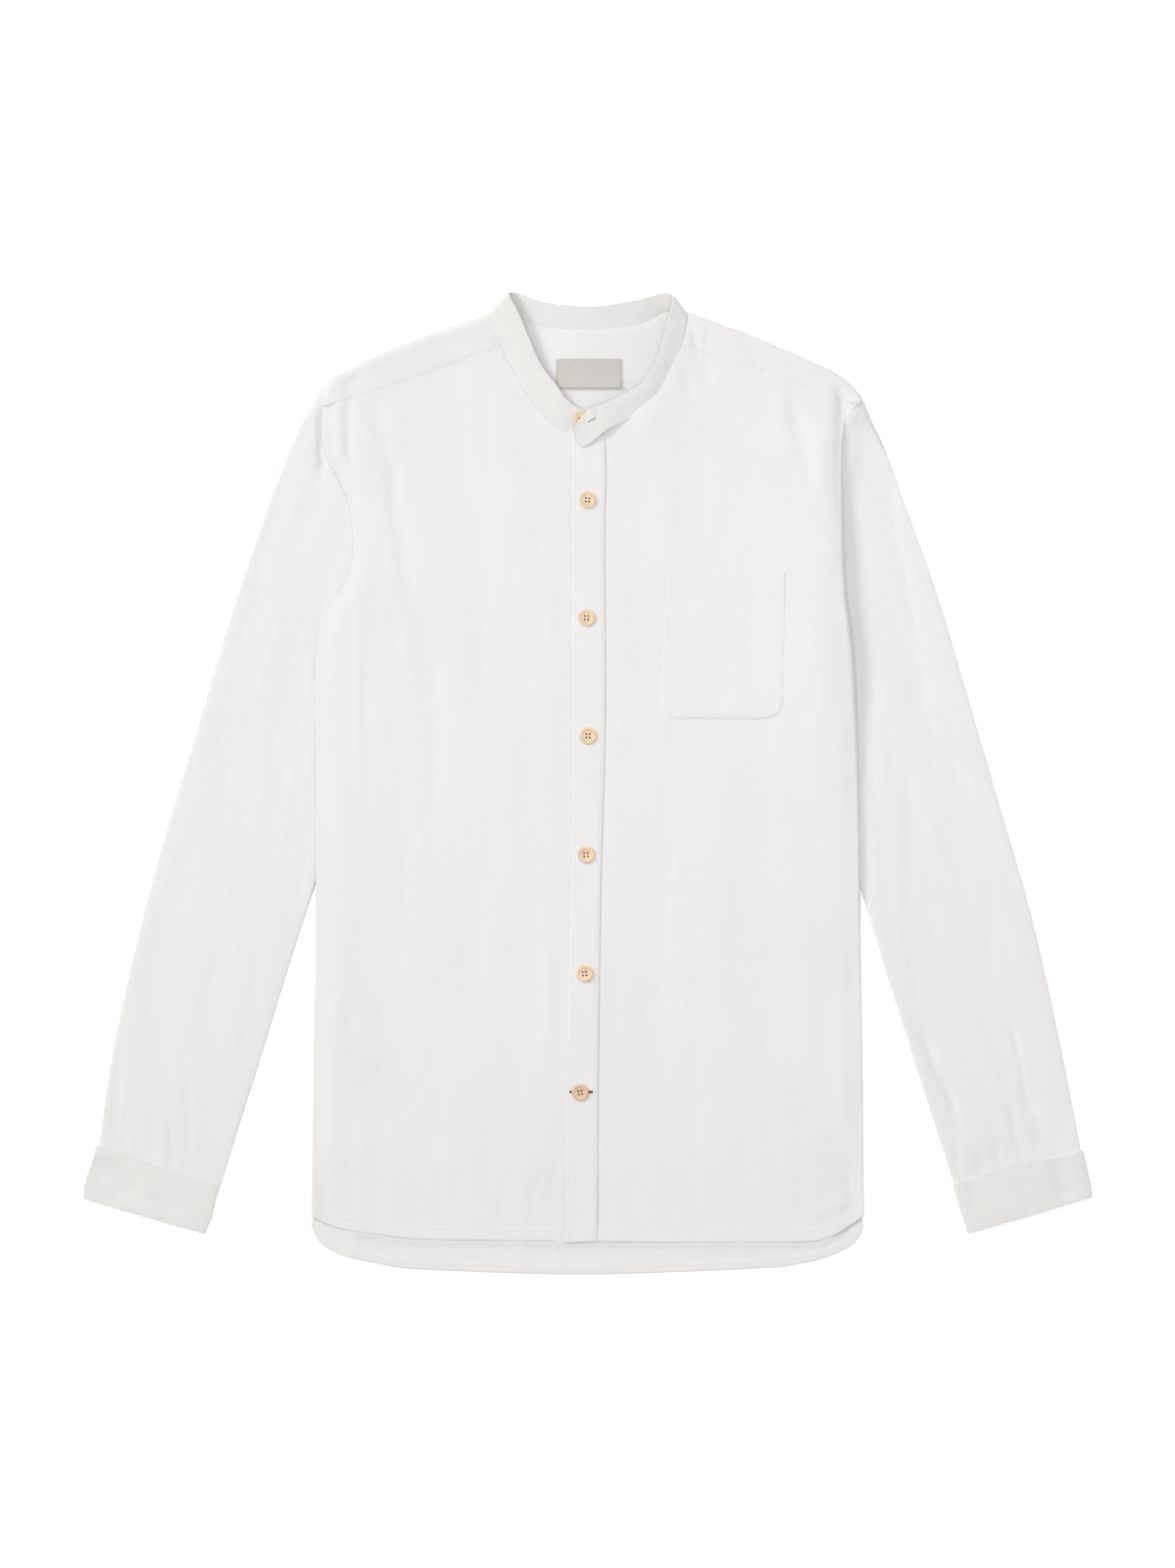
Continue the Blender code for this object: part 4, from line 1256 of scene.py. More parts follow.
@dataclass
class Front:
    """One front: its neck, yoke seam, side fold and hem.

    Attributes:
        side: the outlines of its half of the shirt.
        centre: its centre edge.
        cut: its flat cut, which is not used.
        lapped: it lies under the other front at the centre.
        fold_low: height of the lip under the side fold, beside the body.
        fold_high: the same over the sleeve.
        fold_top: the same at the top of the armhole.
        fold_top_y: where the lip rises to that.
        right_lip_drop: the lip lies this much lower at the right underarm.
        right_lip_y: where it does so.
        least_radius: the side fold is never tighter than this.
        low_fall: how far the cloth falls towards the side fold, beside the body.
        left_fall: the same over the left sleeve.
        right_fall: the same over the right sleeve, low and high up.
        right_fall_y: where it changes from one to the other.
        fall_reach: how far inside the fold the fall starts, low and high up.
    """

    side: Side
    centre: SmoothLine
    cut: Cut
    lapped: bool = False
    fold_low: float = 1.5
    fold_high: float = 6.0
    fold_top: float = 8.3
    fold_top_y: tuple = (258.0, 296.0)
    right_lip_drop: float = 2.4
    right_lip_y: tuple = (160.0, 60.0)
    least_radius: float = 0.85
    low_fall: float = 1.6
    left_fall: float = 1.3
    right_fall: tuple = (0.7, 1.0)
    right_fall_y: tuple = (50.0, 150.0)
    fall_reach: tuple = (18.0, 15.0)

    def __post_init__(self) -> None:
        """Keep the outlines as smooth lines."""
        self.neck = SmoothLine(self.side.neck)
        self.seam = SmoothLine(self.side.yoke_seam)
        self.edge = SmoothLine(self.side.front_side)
        self.hem = SmoothLine(FRONT_HEM)

    def radius(self, y: Array, outer: Array) -> Array:
        """Radius of the side fold."""
        drop = np.where(outer > 0, self.right_lip_drop * fade(y, *self.right_lip_y), 0.0)
        lip = lerp(self.fold_low, self.fold_high - drop, fade(y, *SIDE_RISE_Y))
        lip = lip + (self.fold_top - self.fold_high) * fade(y, *self.fold_top_y)
        top = front_height(outer - self.side.sign * 3.0, y) - self.edge_fall(y, 0.0)
        return np.maximum((top - lip) / 2.0, self.least_radius)

    def edge_fall(self, y: Array, inside: Array) -> Array:
        """How far the cloth falls towards the side fold, a distance inside it."""
        high = fade(y, *SIDE_RISE_Y)
        over_sleeve = self.left_fall
        if self.side.sign > 0:
            over_sleeve = lerp(*self.right_fall, fade(y, *self.right_fall_y))
        deep = lerp(self.low_fall, over_sleeve, high)
        return deep * (1.0 - fade(inside, 0.0, lerp(*self.fall_reach, high)))

    def surface(self, x: Array, y: Array, hem_y: Array, top_y: Array) -> Array:
        """Height of the front with its hem, and its tuck under the yoke.

        Args:
            x: plan positions across.
            y: plan positions down the length.
            hem_y: the hem's edge below them.
            top_y: the seam above them.

        Returns:
            The height at each point.
        """
        above = y - hem_y
        z = front_surface(x, y)
        z -= hem_settle(x, above)
        z += FRONT_TURNED_HEM.rise(x, above)
        corner = abs(self.side.neck[-1][0])
        outside_neck = fade(np.abs(x), corner - 3.0, corner + 3.0)
        z -= TUCK_DROP * outside_neck * fade(y - top_y, *TUCK_DROP_Y)
        if self.lapped:
            z -= UNDER_DROP * fade(x, *UNDER_STEP_X)
        else:
            z -= 0.1 * hump(x - PLACKET_SEAM.x_at(y) - 0.5, 0.0, 1.2)
        return z

    def place(self, column: Array, row: Array) -> Placed:
        """Place the outer face: to 1 the front, to 2 its side fold, to 3 the lip under it."""
        sign = self.side.sign
        start, corner = self.side.neck[0][0], self.side.neck[-1][0]
        side_top = self.side.front_side[0]
        flat = np.minimum(column, 1.0)
        top_x = lerp(start, side_top[0], flat)
        in_neck = np.abs(top_x - start) < abs(corner - start)
        top_y = np.where(in_neck, self.neck.y_at(top_x), self.seam.y_at(top_x))
        bottom = [self.centre.rows[-1][0], self.side.front_side[-1][0]]
        hem_y = self.hem.y_at(lerp(bottom[0], bottom[1], flat))
        tuck = TUCK * (1.0 - 0.6 * fade(flat, 0.88, 0.98))
        y = lerp(hem_y, top_y + tuck, row)
        inner, outer = self.centre.x_at(y), self.edge.x_at(y)
        radius = self.radius(y, outer)
        turn = np.pi * np.clip(column - 1.0, 0.0, 1.0)
        fold = outer - sign * radius
        x = lerp(inner, fold, flat) + sign * radius * np.sin(turn)
        x = x - sign * FOLD_LIP * np.clip(column - 2.0, 0.0, 1.0)
        read_x = lerp(inner, fold, flat)
        z = self.surface(read_x, y, hem_y, top_y) - self.edge_fall(y, np.abs(fold - read_x))
        z = z - radius * (1.0 - np.cos(turn))
        return x, y, np.maximum(z, FRONT_LOWEST)

    def build(self, finish: Material) -> Object:
        """Build the front."""
        width = abs(self.side.front_side[0][0] - self.side.neck[0][0])
        columns = joined(steps_between(0.0, 0.16, 1.2 / width), steps_between(0.16, 1.0, 2.4 / width),
                         steps_between(1.0, 2.0, 1 / 12), steps_between(2.0, 3.0, 0.25))
        rows = joined(steps_between(0.0, 0.03, 0.0017), steps_between(0.03, 0.9, 0.0042),
                      steps_between(0.9, 0.985, 0.0026), steps_between(0.985, 1.0, 0.0006))
        if self.side.sign < 0:
            columns = columns[::-1]
        piece = ClothWall(f"{self.side.name}_front_panel", self.place, columns, rows, CLOTH)
        return piece.build(finish)


@dataclass
class Back:
    """The back panel, flat on the surface, with its longer curved tail.

    Attributes:
        cut: its flat cut, which is not used.
        flank_inset: how far its side edges lie inside the fronts' edges.
        rumple: how strong its ripples are.
        held_share: share of its half width where its sewn sides start and end to lie flat.
        held_y: the sides lie free below these, and flat above.
    """

    cut: Cut
    flank_inset: float = 1.5
    rumple: float = 1.1
    held_share: tuple = (0.96, 1.0)
    held_y: tuple = (-330.0, -300.0)

    def __post_init__(self) -> None:
        """Work out the two side edges."""
        self.hem = SmoothLine(BACK_HEM)
        self.front_hem = SmoothLine(FRONT_HEM)
        self.edges = {side.sign: self.side_edge(side) for side in (LEFT, RIGHT)}

    def side_edge(self, side: Side) -> Array:
        """Plan points of a side edge, sorted by y."""
        rings = along(side.sleeve, np.linspace(0.0, UNDERARM_SHARE, 17))
        path = np.vstack([armhole(side), rings[:, 2:4]]) - (side.sign * ARMHOLE_GAP, 0.0)
        flank = np.array([point for point in side.front_side if point[1] < rings[-1, 3] - 1.0])
        flank = flank - (side.sign * self.flank_inset, 0.0)
        corner = np.array([BACK_HEM[0 if side.sign < 0 else -1]])
        path = np.vstack([path, flank, corner])
        return path[np.argsort(path[:, 1])]

    def place(self, column: Array, row: Array) -> Placed:
        """Place the outer face, which is the one underneath."""
        half = np.abs(column)
        y, x = np.zeros_like(half), np.zeros_like(half)
        for sign, edge in self.edges.items():
            mine = column * sign >= 0
            low_x = edge[0, 0]
            hem_y = self.hem.y_at(half * low_x)
            here_y = lerp(hem_y, YOKE_BACK_SEAM, row)
            here_x = half * np.interp(here_y, edge[:, 1], edge[:, 0])
            y, x = np.where(mine, here_y, y), np.where(mine, here_x, x)
        above = y - self.hem.y_at(x)
        over = y - self.front_hem.y_at(x)
        z = fold_rise(BACK_CREASES, x, y) + self.rumple * FRONT_RUMPLE.cloth(x + 70.0, y)
        lifted = fade(over, *TAIL_RISE_Y[0]) * (1.0 - fade(over, *TAIL_RISE_Y[1]))
        z += TAIL_RISE * lifted * fade(np.abs(x), *TAIL_RISE_X)
        z += TAIL_TURNED_HEM.rise(x, above)
        held = 1.0 - fade(half, *self.held_share) * fade(y, *self.held_y)
        return x, y, np.maximum(z, 0.0) * held

    def build(self, finish: Material) -> Object:
        """Build the back."""
        columns = joined(steps_between(-1.0, 1.0, 0.02), 1 - np.geomspace(0.002, 0.08, 7),
                         np.geomspace(0.002, 0.08, 7) - 1)
        rows = joined(steps_between(0.0, 0.09, 0.0022), steps_between(0.09, 1.0, 0.008))
        return ClothWall("back_panel", self.place, columns, rows, FLAT_WALL,
                         flip=True).build(finish)


def armhole(side: Side) -> Array:
    """Plan points on the armhole where the sleeve joins."""
    ring = Ring(*along(side.sleeve, np.array(0.0)))
    x, y = ring_plan(ring, side.sign, np.linspace(0.0, 1.0, 41), False)
    path = np.stack([x, y], axis=1)
    return path[np.argsort(path[:, 1])]


def ring_plan(ring: Ring, sign: int, share: Array, upper: Array) -> tuple[Array, Array]:
    """Plan point of a ring.

    Args:
        ring: the ring.
        sign: -1 on the left and 1 on the right.
        share: share of the way from its outer to its inner edge.
        upper: the point is on the upper layer, which has the cap.

    Returns:
        x and y of the point.
    """
    swell = np.clip(np.sin(np.pi * share), 0.0, 1.0)
    reach = np.where(upper, ring.cap * swell ** CAP_SHAPE, ring.bow * swell)
    run_x, run_y = ring.inner_x - ring.outer_x, ring.inner_y - ring.outer_y
    length = np.hypot(run_x, run_y)
    x = ring.outer_x + run_x * share + run_y / length * sign * reach
    y = ring.outer_y + run_y * share - run_x / length * sign * reach
    return x, y


def neck_lift(x: Array, y: Array) -> Array:
    """How far the yoke's inner face stands up inside the neck."""
    out = np.hypot(x, NECK_LIFT_SHAPE * (y - NECK_LIFT_Y))
    return NECK_LIFT * hump(out, 0.0, NECK_LIFT_REACH)


@dataclass
class Yoke:
    """The yoke: flat under the neck, turned over both shoulders, down to the front seams.

    Attributes:
        cut: its flat cut, which is not used.
        edge_radius: its height is read this far inside the shoulder fold.
        neck_tuck: how far it runs on under the collar band, along the fold.
        neck_over: how far it runs on under the band at the back.
        seam_over: how far it laps over the fronts.
        rumple: how strong the ripples of its flat part are.
    """

    cut: Cut
    edge_radius: float = 3.0
    neck_tuck: float = 3.5
    neck_over: float = 1.6
    seam_over: float = 0.3
    rumple: float = 0.8

    def __post_init__(self) -> None:
        """Keep the outlines as smooth lines."""
        self.neck = SmoothLine(NECK_BACK)
        self.lines = {side.sign: (SmoothLine(side.shoulder), SmoothLine(side.yoke_seam),
                                  armhole(side)) for side in (LEFT, RIGHT)}

    def half(self, side: Side, column: Array, row: Array) -> Placed:
        """Place the outer face on one side of the shirt.

        Args:
            side: the outlines of that side.
            column: 1 at the neck's corner and 2 at the armhole.
            row: to 1 the flat part, to 2 the shoulder fold, to 3 the part in front.

        Returns:
            x, y and z at each column and row.
        """
        shoulder, seam, hole = self.lines[side.sign]
        near, far = side.shoulder[0][0], side.shoulder[-1][0]
        reach = np.clip(np.abs(column) - 1.0, 0.0, 1.0)
        fold_x = lerp(near - side.sign * self.neck_tuck, far, reach)
        fold_y = shoulder.y_at(fold_x)
        seam_x = lerp(side.yoke_seam[0][0], side.yoke_seam[-1][0], reach)
        radius = front_height(fold_x, fold_y - self.edge_radius) / 2.0
        neck_x = np.abs(column) * near
        neck_y = lerp(YOKE_BACK_SEAM, self.neck.y_at(neck_x) + self.neck_over, row)
        flat_y = lerp(YOKE_BACK_SEAM, fold_y - radius, row)
        edge = np.interp(flat_y, hole[:, 1], hole[:, 0]) - side.sign * ARMHOLE_GAP
        flat_x = lerp(near, edge, reach)
        inner = np.abs(column) < 1.0
        flat_x, flat_y = np.where(inner, neck_x, flat_x), np.where(inner, neck_y, flat_y)
        ripple = np.maximum(self.rumple * SLEEVE_RUMPLE.cloth(flat_x, flat_y), 0.0)
        flat_z = ripple * fade(row, 0.0, 0.1)
        flat_z = flat_z + neck_lift(flat_x, flat_y) * fade(row, 0.0, 0.3)
        angle = np.pi * np.clip(row - 1.0, 0.0, 1.0)
        turn_y = fold_y - radius * (1.0 - np.sin(angle))
        turn_z = radius * (1.0 - np.cos(angle))
        share = np.clip(row - 2.0, 0.0, 1.0)
        top_x = lerp(fold_x, seam_x, share)
        top_y = lerp(fold_y - radius, seam.y_at(seam_x) + self.seam_over, share)
        top_z = lerp(2.0 * radius, front_surface(top_x, top_y), fade(share, 0.0, 0.45))
        top_z = top_z + YOKE_LIFT * fade(share, 0.3, 0.7)
        first, second = row <= 1.0, row <= 2.0
        return (np.where(first, flat_x, np.where(second, fold_x, top_x)),
                np.where(first, flat_y, np.where(second, turn_y, top_y)),
                np.where(first, flat_z, np.where(second, turn_z, top_z)))

    def place(self, column: Array, row: Array) -> Placed:
        """Place the outer face on both sides."""
        halves = zip(self.half(LEFT, column, row), self.half(RIGHT, column, row))
        return tuple(np.where(column > 0, right, left) for left, right in halves)

    def build(self, finish: Material) -> Object:
        """Build the yoke."""
        columns = joined(steps_between(-2.0, -1.0, 1 / 56), steps_between(-1.0, 1.0, 1 / 26),
                         steps_between(1.0, 2.0, 1 / 56))
        rows = joined(steps_between(0.0, 1.0, 1 / 30), steps_between(1.0, 2.0, 1 / 12),
                      steps_between(2.0, 2.8, 1 / 16), steps_between(2.8, 3.0, 1 / 32))
        return ClothWall("yoke_panel", self.place, columns, rows, CLOTH, flip=True,
                         keep=lambda column, row: abs(column) > 1.0 or row < 1.0).build(finish)


@dataclass
class Tube:
    """A flattened sleeve or cuff through a table of rings.

    Attributes:
        name: the piece's name.
        sign: -1 on the left and 1 on the right.
        rings: the table.
        wall: thickness of the cloth.
        rows: steps along its length.
        cut: its flat cut, which is not used.
        rumple: how strong its ripples are.
        edge: height of the folds at its two edges.
        slope: how softly it rises from its edges.
        crown: share of the rings' crowns that its middle stands up by.
        shoulder: how much higher those folds are where it starts.
        shoulder_reach: share of its length over which they come down.
        tucked: 1 where the far end goes into a cuff.
        tuck_share: shares of its length where it starts to narrow for that, and has.
        tuck_in: share of its width that it narrows by on each side.
        tuck_low: share of its height that it loses.
        tuck_lift: how far its lower layer then lies above the surface.
        tuck_lift_share: shares of its length where it starts to rise, and has.
        gather: shares of its length where ripples start to grow towards a cuff, and have.
    """

    name: str
    sign: int
    rings: list
    wall: float
    rows: int
    cut: Cut
    rumple: float = 1.0
    edge: float = 0.9
    slope: float = 0.28
    crown: float = 0.3
    shoulder: float = 0.0
    shoulder_reach: float = 0.18
    tucked: float = 0.0
    tuck_share: tuple = (0.988, 0.998)
    tuck_in: float = 0.013
    tuck_low: float = 0.22
    tuck_lift: float = 0.35
    tuck_lift_share: tuple = (0.97, 0.985)
    gather: tuple = (0.7, 0.9)

    def place(self, column: Array, share: Array) -> Placed:
        """Place the outer face: to 1 the upper layer, and from there to 2 the lower one."""
        ring = Ring(*np.moveaxis(along(self.rings, share), -1, 0))
        upper = column <= 1.0
        across = np.where(upper, column, 2.0 - column)
        swell = 2.0 * np.sqrt(np.clip(across * (1.0 - across), 0.0, 0.25))
        flat = np.minimum(1.0, SLEEVE_EDGE_FULLNESS * swell ** SLEEVE_EDGE_SHAPE)
        end = self.tucked * fade(share, *self.tuck_share)
        across = lerp(across, self.tuck_in + (1.0 - 2.0 * self.tuck_in) * across, end)
        x, y = ring_plan(ring, self.sign, across, upper & (column > 0.0) & (column < 1.0))
        u = across * np.hypot(ring.inner_x - ring.outer_x, ring.inner_y - ring.outer_y)
        ripple = self.rumple * SLEEVE_RUMPLE.cloth(u + 200.0 * self.sign, SLEEVE_LENGTH * share)
        gathered = 1.0 + self.tucked * fade(share, *self.gather)
        creases = uneven(SLEEVE_CREASES, x, y) + ripple * gathered
        edge = self.edge + self.shoulder * (1.0 - fade(share, 0.0, self.shoulder_reach))
        rise = edge + (ring.height * (1.0 - self.tuck_low * end) - edge) * swell ** self.slope
        large = fold_rise(LARGE_FOLDS, x, y) * swell + fold_rise(CAP_FOLDS, x, y) * flat
        top = rise + self.crown * ring.crown * swell ** 2 + large
        top = np.maximum(top + creases * flat, edge + 0.9 * flat)
        low = edge * (1.0 - flat)
        low = low + np.maximum(self.rumple * SLEEVE_RUMPLE.cloth(x + 40.0, y + 90.0), 0.0) * flat
        low = low + self.tuck_lift * self.tucked * fade(share, *self.tuck_lift_share)
        return x, y, np.where(upper, top, low)

    def build(self, finish: Material, fine: float) -> Object:
        """Build the tube, its columns a share of its width apart and closer at the folds."""
        turned = (1.0 - np.cos(np.radians(np.arange(0.0, 36.0, 5.0)))) / 2.0
        upper = joined(turned, 1.0 - turned, steps_between(turned[-1], 1.0 - turned[-1], fine))
        lower = joined(turned, 1.0 - turned, steps_between(turned[-1], 1.0 - turned[-1], 4 * fine))
        columns = joined(upper, 1.0 + lower)
        rows = np.linspace(0.0, 1.0, self.rows + 1)
        return ClothWall(self.name, self.place, columns, rows, self.wall, tube=True,
                         flip=self.sign < 0).build(finish)


@dataclass
class CollarBand:
    """The standing collar band, from its buttoned-under end to its free tab end.

    Places along it are shares of its length.

    Attributes:
        cut: its flat cut, which is not used.
        ripple: height of its ripples.
        stand: share of the table's rise that it has at the back.
        low_stand: the same at both sides and in front.
        sink: how far its seam lies below the table's, on the right.
        left_sink: the same on the left.
        below_yoke: how far its seam lies below the yoke at the back.
        back: the middle of the back.
        corners: the two corners behind the shoulders.
        corner_reach: how far a corner's drop reaches.
        corner_drop: how much further down the seam goes at a corner.
        tab: from here to there the band comes up to the table's whole rise.
        length: its length for the ripples, and
        width: its width for them.
    """

    cut: Cut
    ripple: float = 0.35
    stand: float = 0.32
    low_stand: float = 0.17
    sink: float = 2.2
    left_sink: float = 1.2
    below_yoke: float = 0.75
    corner_drop: float = 2.9
    back: float = 0.43
    corners: tuple = (0.283, 0.578)
    corner_reach: float = 0.018
    tab: tuple = (0.86, 0.89)
    length: float = 560.0
    width: float = 22.0

    def place(self, column: Array, row: Array) -> Placed:
        """Place the middle surface of the band."""
        here = np.moveaxis(along(BAND, column), -1, 0)
        x, y = lerp(here[0], here[3], row), lerp(here[1], here[4], row)
        sewn = fade(np.abs(column - 0.48), 0.16, 0.24) * fade(np.abs(column - 0.42), 0.46, 0.38)
        sunk = lerp(self.left_sink, self.sink, fade(column, 0.35, 0.5))
        sunk = sunk * sewn * (1.0 - fade(row, 0.0, 0.8))
        back = fade(np.abs(column - 0.43), 0.17, 0.1)
        foot = lerp(here[2] - sunk, neck_lift(here[0], here[1]) - self.below_yoke, back)
        stand = lerp(self.stand, self.low_stand, fade(np.abs(column - self.back), 0.15, 0.29))
        stand = lerp(stand, 1.0, fade(column, *self.tab))
        turned = sum(hump(column, corner, self.corner_reach) for corner in self.corners)
        z = foot + (here[5] - here[2]) * stand * row - self.corner_drop * turned * (1.0 - row)
        u, v = column * self.length, row * self.width
        wave = self.ripple * FRONT_RUMPLE.at(u, v, 17.0, 14.0)
        wave = wave + 0.5 * self.ripple * FRONT_RUMPLE.at(u, v, 6.0, 9.0)
        return x, y, z + wave * np.sin(np.pi * row) ** 0.5

    def build(self, finish: Material) -> Object:
        """Build the band."""
        return ClothWall("collar_band_cloth", self.place, steps_between(0.0, 1.0, 1 / 300),
                         steps_between(0.0, 1.0, 1 / 16), BAND_WALL, rounding=0.5,
                         outside=BAND_WALL / 2.0).build(finish)


@dataclass(frozen=True)
class SewnEdge:
    """The relief inside the edge of a piece that is sewn down on a front.

    Attributes:
        drop: how far the cloth comes down at the edge.
        drop_reach: it starts to this far inside.
        pull: depth of the pull along the stitches.
        stitch_line: distance of the stitches from the edge.
        pucker: height of the puckers.
        cell: width and length of a pucker.
        pucker_reach: how far they run out.
    """

    drop: float
    drop_reach: float
    pull: float
    stitch_line: float
    pucker: float
    cell: tuple
    pucker_reach: float

    def rise(self, x: Array, y: Array, edge: Array) -> Array:
        """Rise of the cloth at plan points, a distance inside the edge."""
        down = self.drop * (1.0 - fade(edge, 0.0, self.drop_reach))
        down = down + self.pull * hump(edge, self.stitch_line, 0.9)
        pucker = self.pucker * FRONT_RUMPLE.at(x, y, *self.cell)
        return pucker * hump(edge, 2.0, self.pucker_reach) - down


PLACKET_SEWN = SewnEdge(0.28, 2.2, 0.12, PLACKET_STITCH_IN, 0.1, (8.0, 5.0), 3.0)
POCKET_SEWN = SewnEdge(0.3, 2.0, 0.14, POCKET_STITCH_IN, 0.12, (6.0, 6.0), 4.0)


@dataclass
class Placket:
    """The buttonhole strip on the overlapping front, with its flat cut."""

    cut: Cut

    def place(self, column: Array, row: Array) -> Placed:
        """Place the outer face."""
        top = lerp(PLACKET_FREE[0][1], PLACKET_INNER[0][1], column)
        bottom = lerp(PLACKET_FREE[-1][1], PLACKET_INNER[-1][1], column)
        y = lerp(top, bottom, row)
        x = lerp(PLACKET_EDGE.x_at(y), PLACKET_SEAM.x_at(y), column)
        above = y - SmoothLine(FRONT_HEM).y_at(x)
        z = front_surface(x, y) + PLACKET_LIFT - hem_settle(x, above)
        edge = np.minimum(column, 1.0 - column) * PLACKET_WIDTH
        return x, y, z + PLACKET_SEWN.rise(x, y + 200.0, edge)

    def build(self, finish: Material) -> Object:
        """Build the strip."""
        columns = steps_between(0.0, 1.0, 1.0 / PLACKET_WIDTH)
        return ClothWall("placket_strip", self.place, columns, steps_between(0.0, 1.0, 1 / 330),
                         PLACKET_WALL, rounding=0.3).build(finish)


@dataclass
class Pocket:
    """The chest patch pocket: rounded lower corners and a turned hem, with its flat cut."""

    cut: Cut

    def __post_init__(self) -> None:
        """Keep the side edges as smooth lines."""
        self.inner = SmoothLine(POCKET_INNER_EDGE)
        self.outer = SmoothLine(POCKET_OUTER_EDGE)

    def corner(self, column: Array) -> Array:
        """How far the rounded corner lifts the bottom edge."""
        side = np.minimum(column, 1.0 - column) * POCKET_WIDTH
        inside = np.clip(POCKET_CORNER - side, 0.0, None)
        return POCKET_CORNER - np.sqrt(np.clip(POCKET_CORNER ** 2 - inside ** 2, 0.0, None))

    def place(self, column: Array, row: Array) -> Placed:
        """Place the outer face."""
        y = lerp(POCKET_BOTTOM + self.corner(column), POCKET_TOP, row)
        x = lerp(self.inner.x_at(y), self.outer.x_at(y), column)
        side = np.minimum(x - self.inner.x_at(y), self.outer.x_at(y) - x)
        edge = np.minimum(side, y - POCKET_BOTTOM - self.corner(column))
        z = front_surface(x, y) + POCKET_LIFT + POCKET_SEWN.rise(x, y, edge)
        hem = POCKET_TOP - y
        z += 0.22 * (1.0 - fade(hem, POCKET_HEM - 0.6, POCKET_HEM + 0.6))
        z -= 0.2 * hump(hem, POCKET_HEM - 1.6, 0.9)
        return x, y, z + fold_rise(POCKET_CREASES, x, y)

    def build(self, finish: Material) -> Object:
        """Build the pocket."""
        turn = np.radians(np.arange(0.0, 91.0, 9.0))
        near = (1.0 - np.cos(turn)) * POCKET_CORNER / POCKET_WIDTH
        columns = joined(near, 1.0 - near, steps_between(near[-1], 1.0 - near[-1], 1.6 / 94))
        rows = joined(steps_between(0.0, 0.8, 1 / 64), steps_between(0.8, 1.0, 1 / 120))
        return ClothWall("chest_pocket", self.place, columns, rows, POCKET_WALL,
                         rounding=0.2).build(finish)

    @staticmethod
    def hem_line() -> Array:
        """The two ends of the hem's row of stitches."""
        inset, up = POCKET_HEM_STITCH_IN
        y = POCKET_TOP - POCKET_HEM + up
        return np.array([(POCKET_INNER_EDGE[0][0] + inset, y),
                         (POCKET_OUTER_EDGE[0][0] - inset, y)])

    @staticmethod
    def outline(inset: float) -> Array:
        """Plan points down one side, along the bottom and up the other, a distance inside."""
        sides = np.array(POCKET_INNER_EDGE), np.array(POCKET_OUTER_EDGE)
        x0, x1 = sides[0][-1, 0] + inset, sides[1][-1, 0] - inset
        low, bend = POCKET_BOTTOM + inset, POCKET_CORNER - inset
        turn = np.radians(np.arange(0.0, 91.0, 10.0))
        left = np.stack([x0 + bend - bend * np.cos(turn), low + bend - bend * np.sin(turn)], 1)
        right = np.stack([x1 - bend + bend * np.sin(turn), low + bend - bend * np.cos(turn)], 1)
        down = sides[0][:-1] + (inset, 0.0)
        up = sides[1][:-1][::-1] - (inset, 0.0)
        return np.vstack([down, left, right, up])


@dataclass
class NeckLabel:
    """The bare woven label on the yoke's inner face."""

    cut: Cut

    def place(self, column: Array, row: Array) -> Placed:
        """Place the outer face."""
        x, y = lerp(LABEL_LEFT, LABEL_RIGHT, column), lerp(LABEL_BOTTOM, LABEL_TOP, row)
        wave = 0.22 * FRONT_RUMPLE.at(x, y, 15.0, 12.0) + 1.2 * hump(row, 0.0, 0.25)
        return x, y, LABEL_HEIGHT + neck_lift(x, y) + wave

    def build(self, finish: Material) -> Object:
        """Build the label."""
        return ClothWall("woven_label", self.place, steps_between(0.0, 1.0, 1 / 40),
                         steps_between(0.0, 1.0, 1 / 20), LABEL_WALL, rounding=0.12).build(finish)


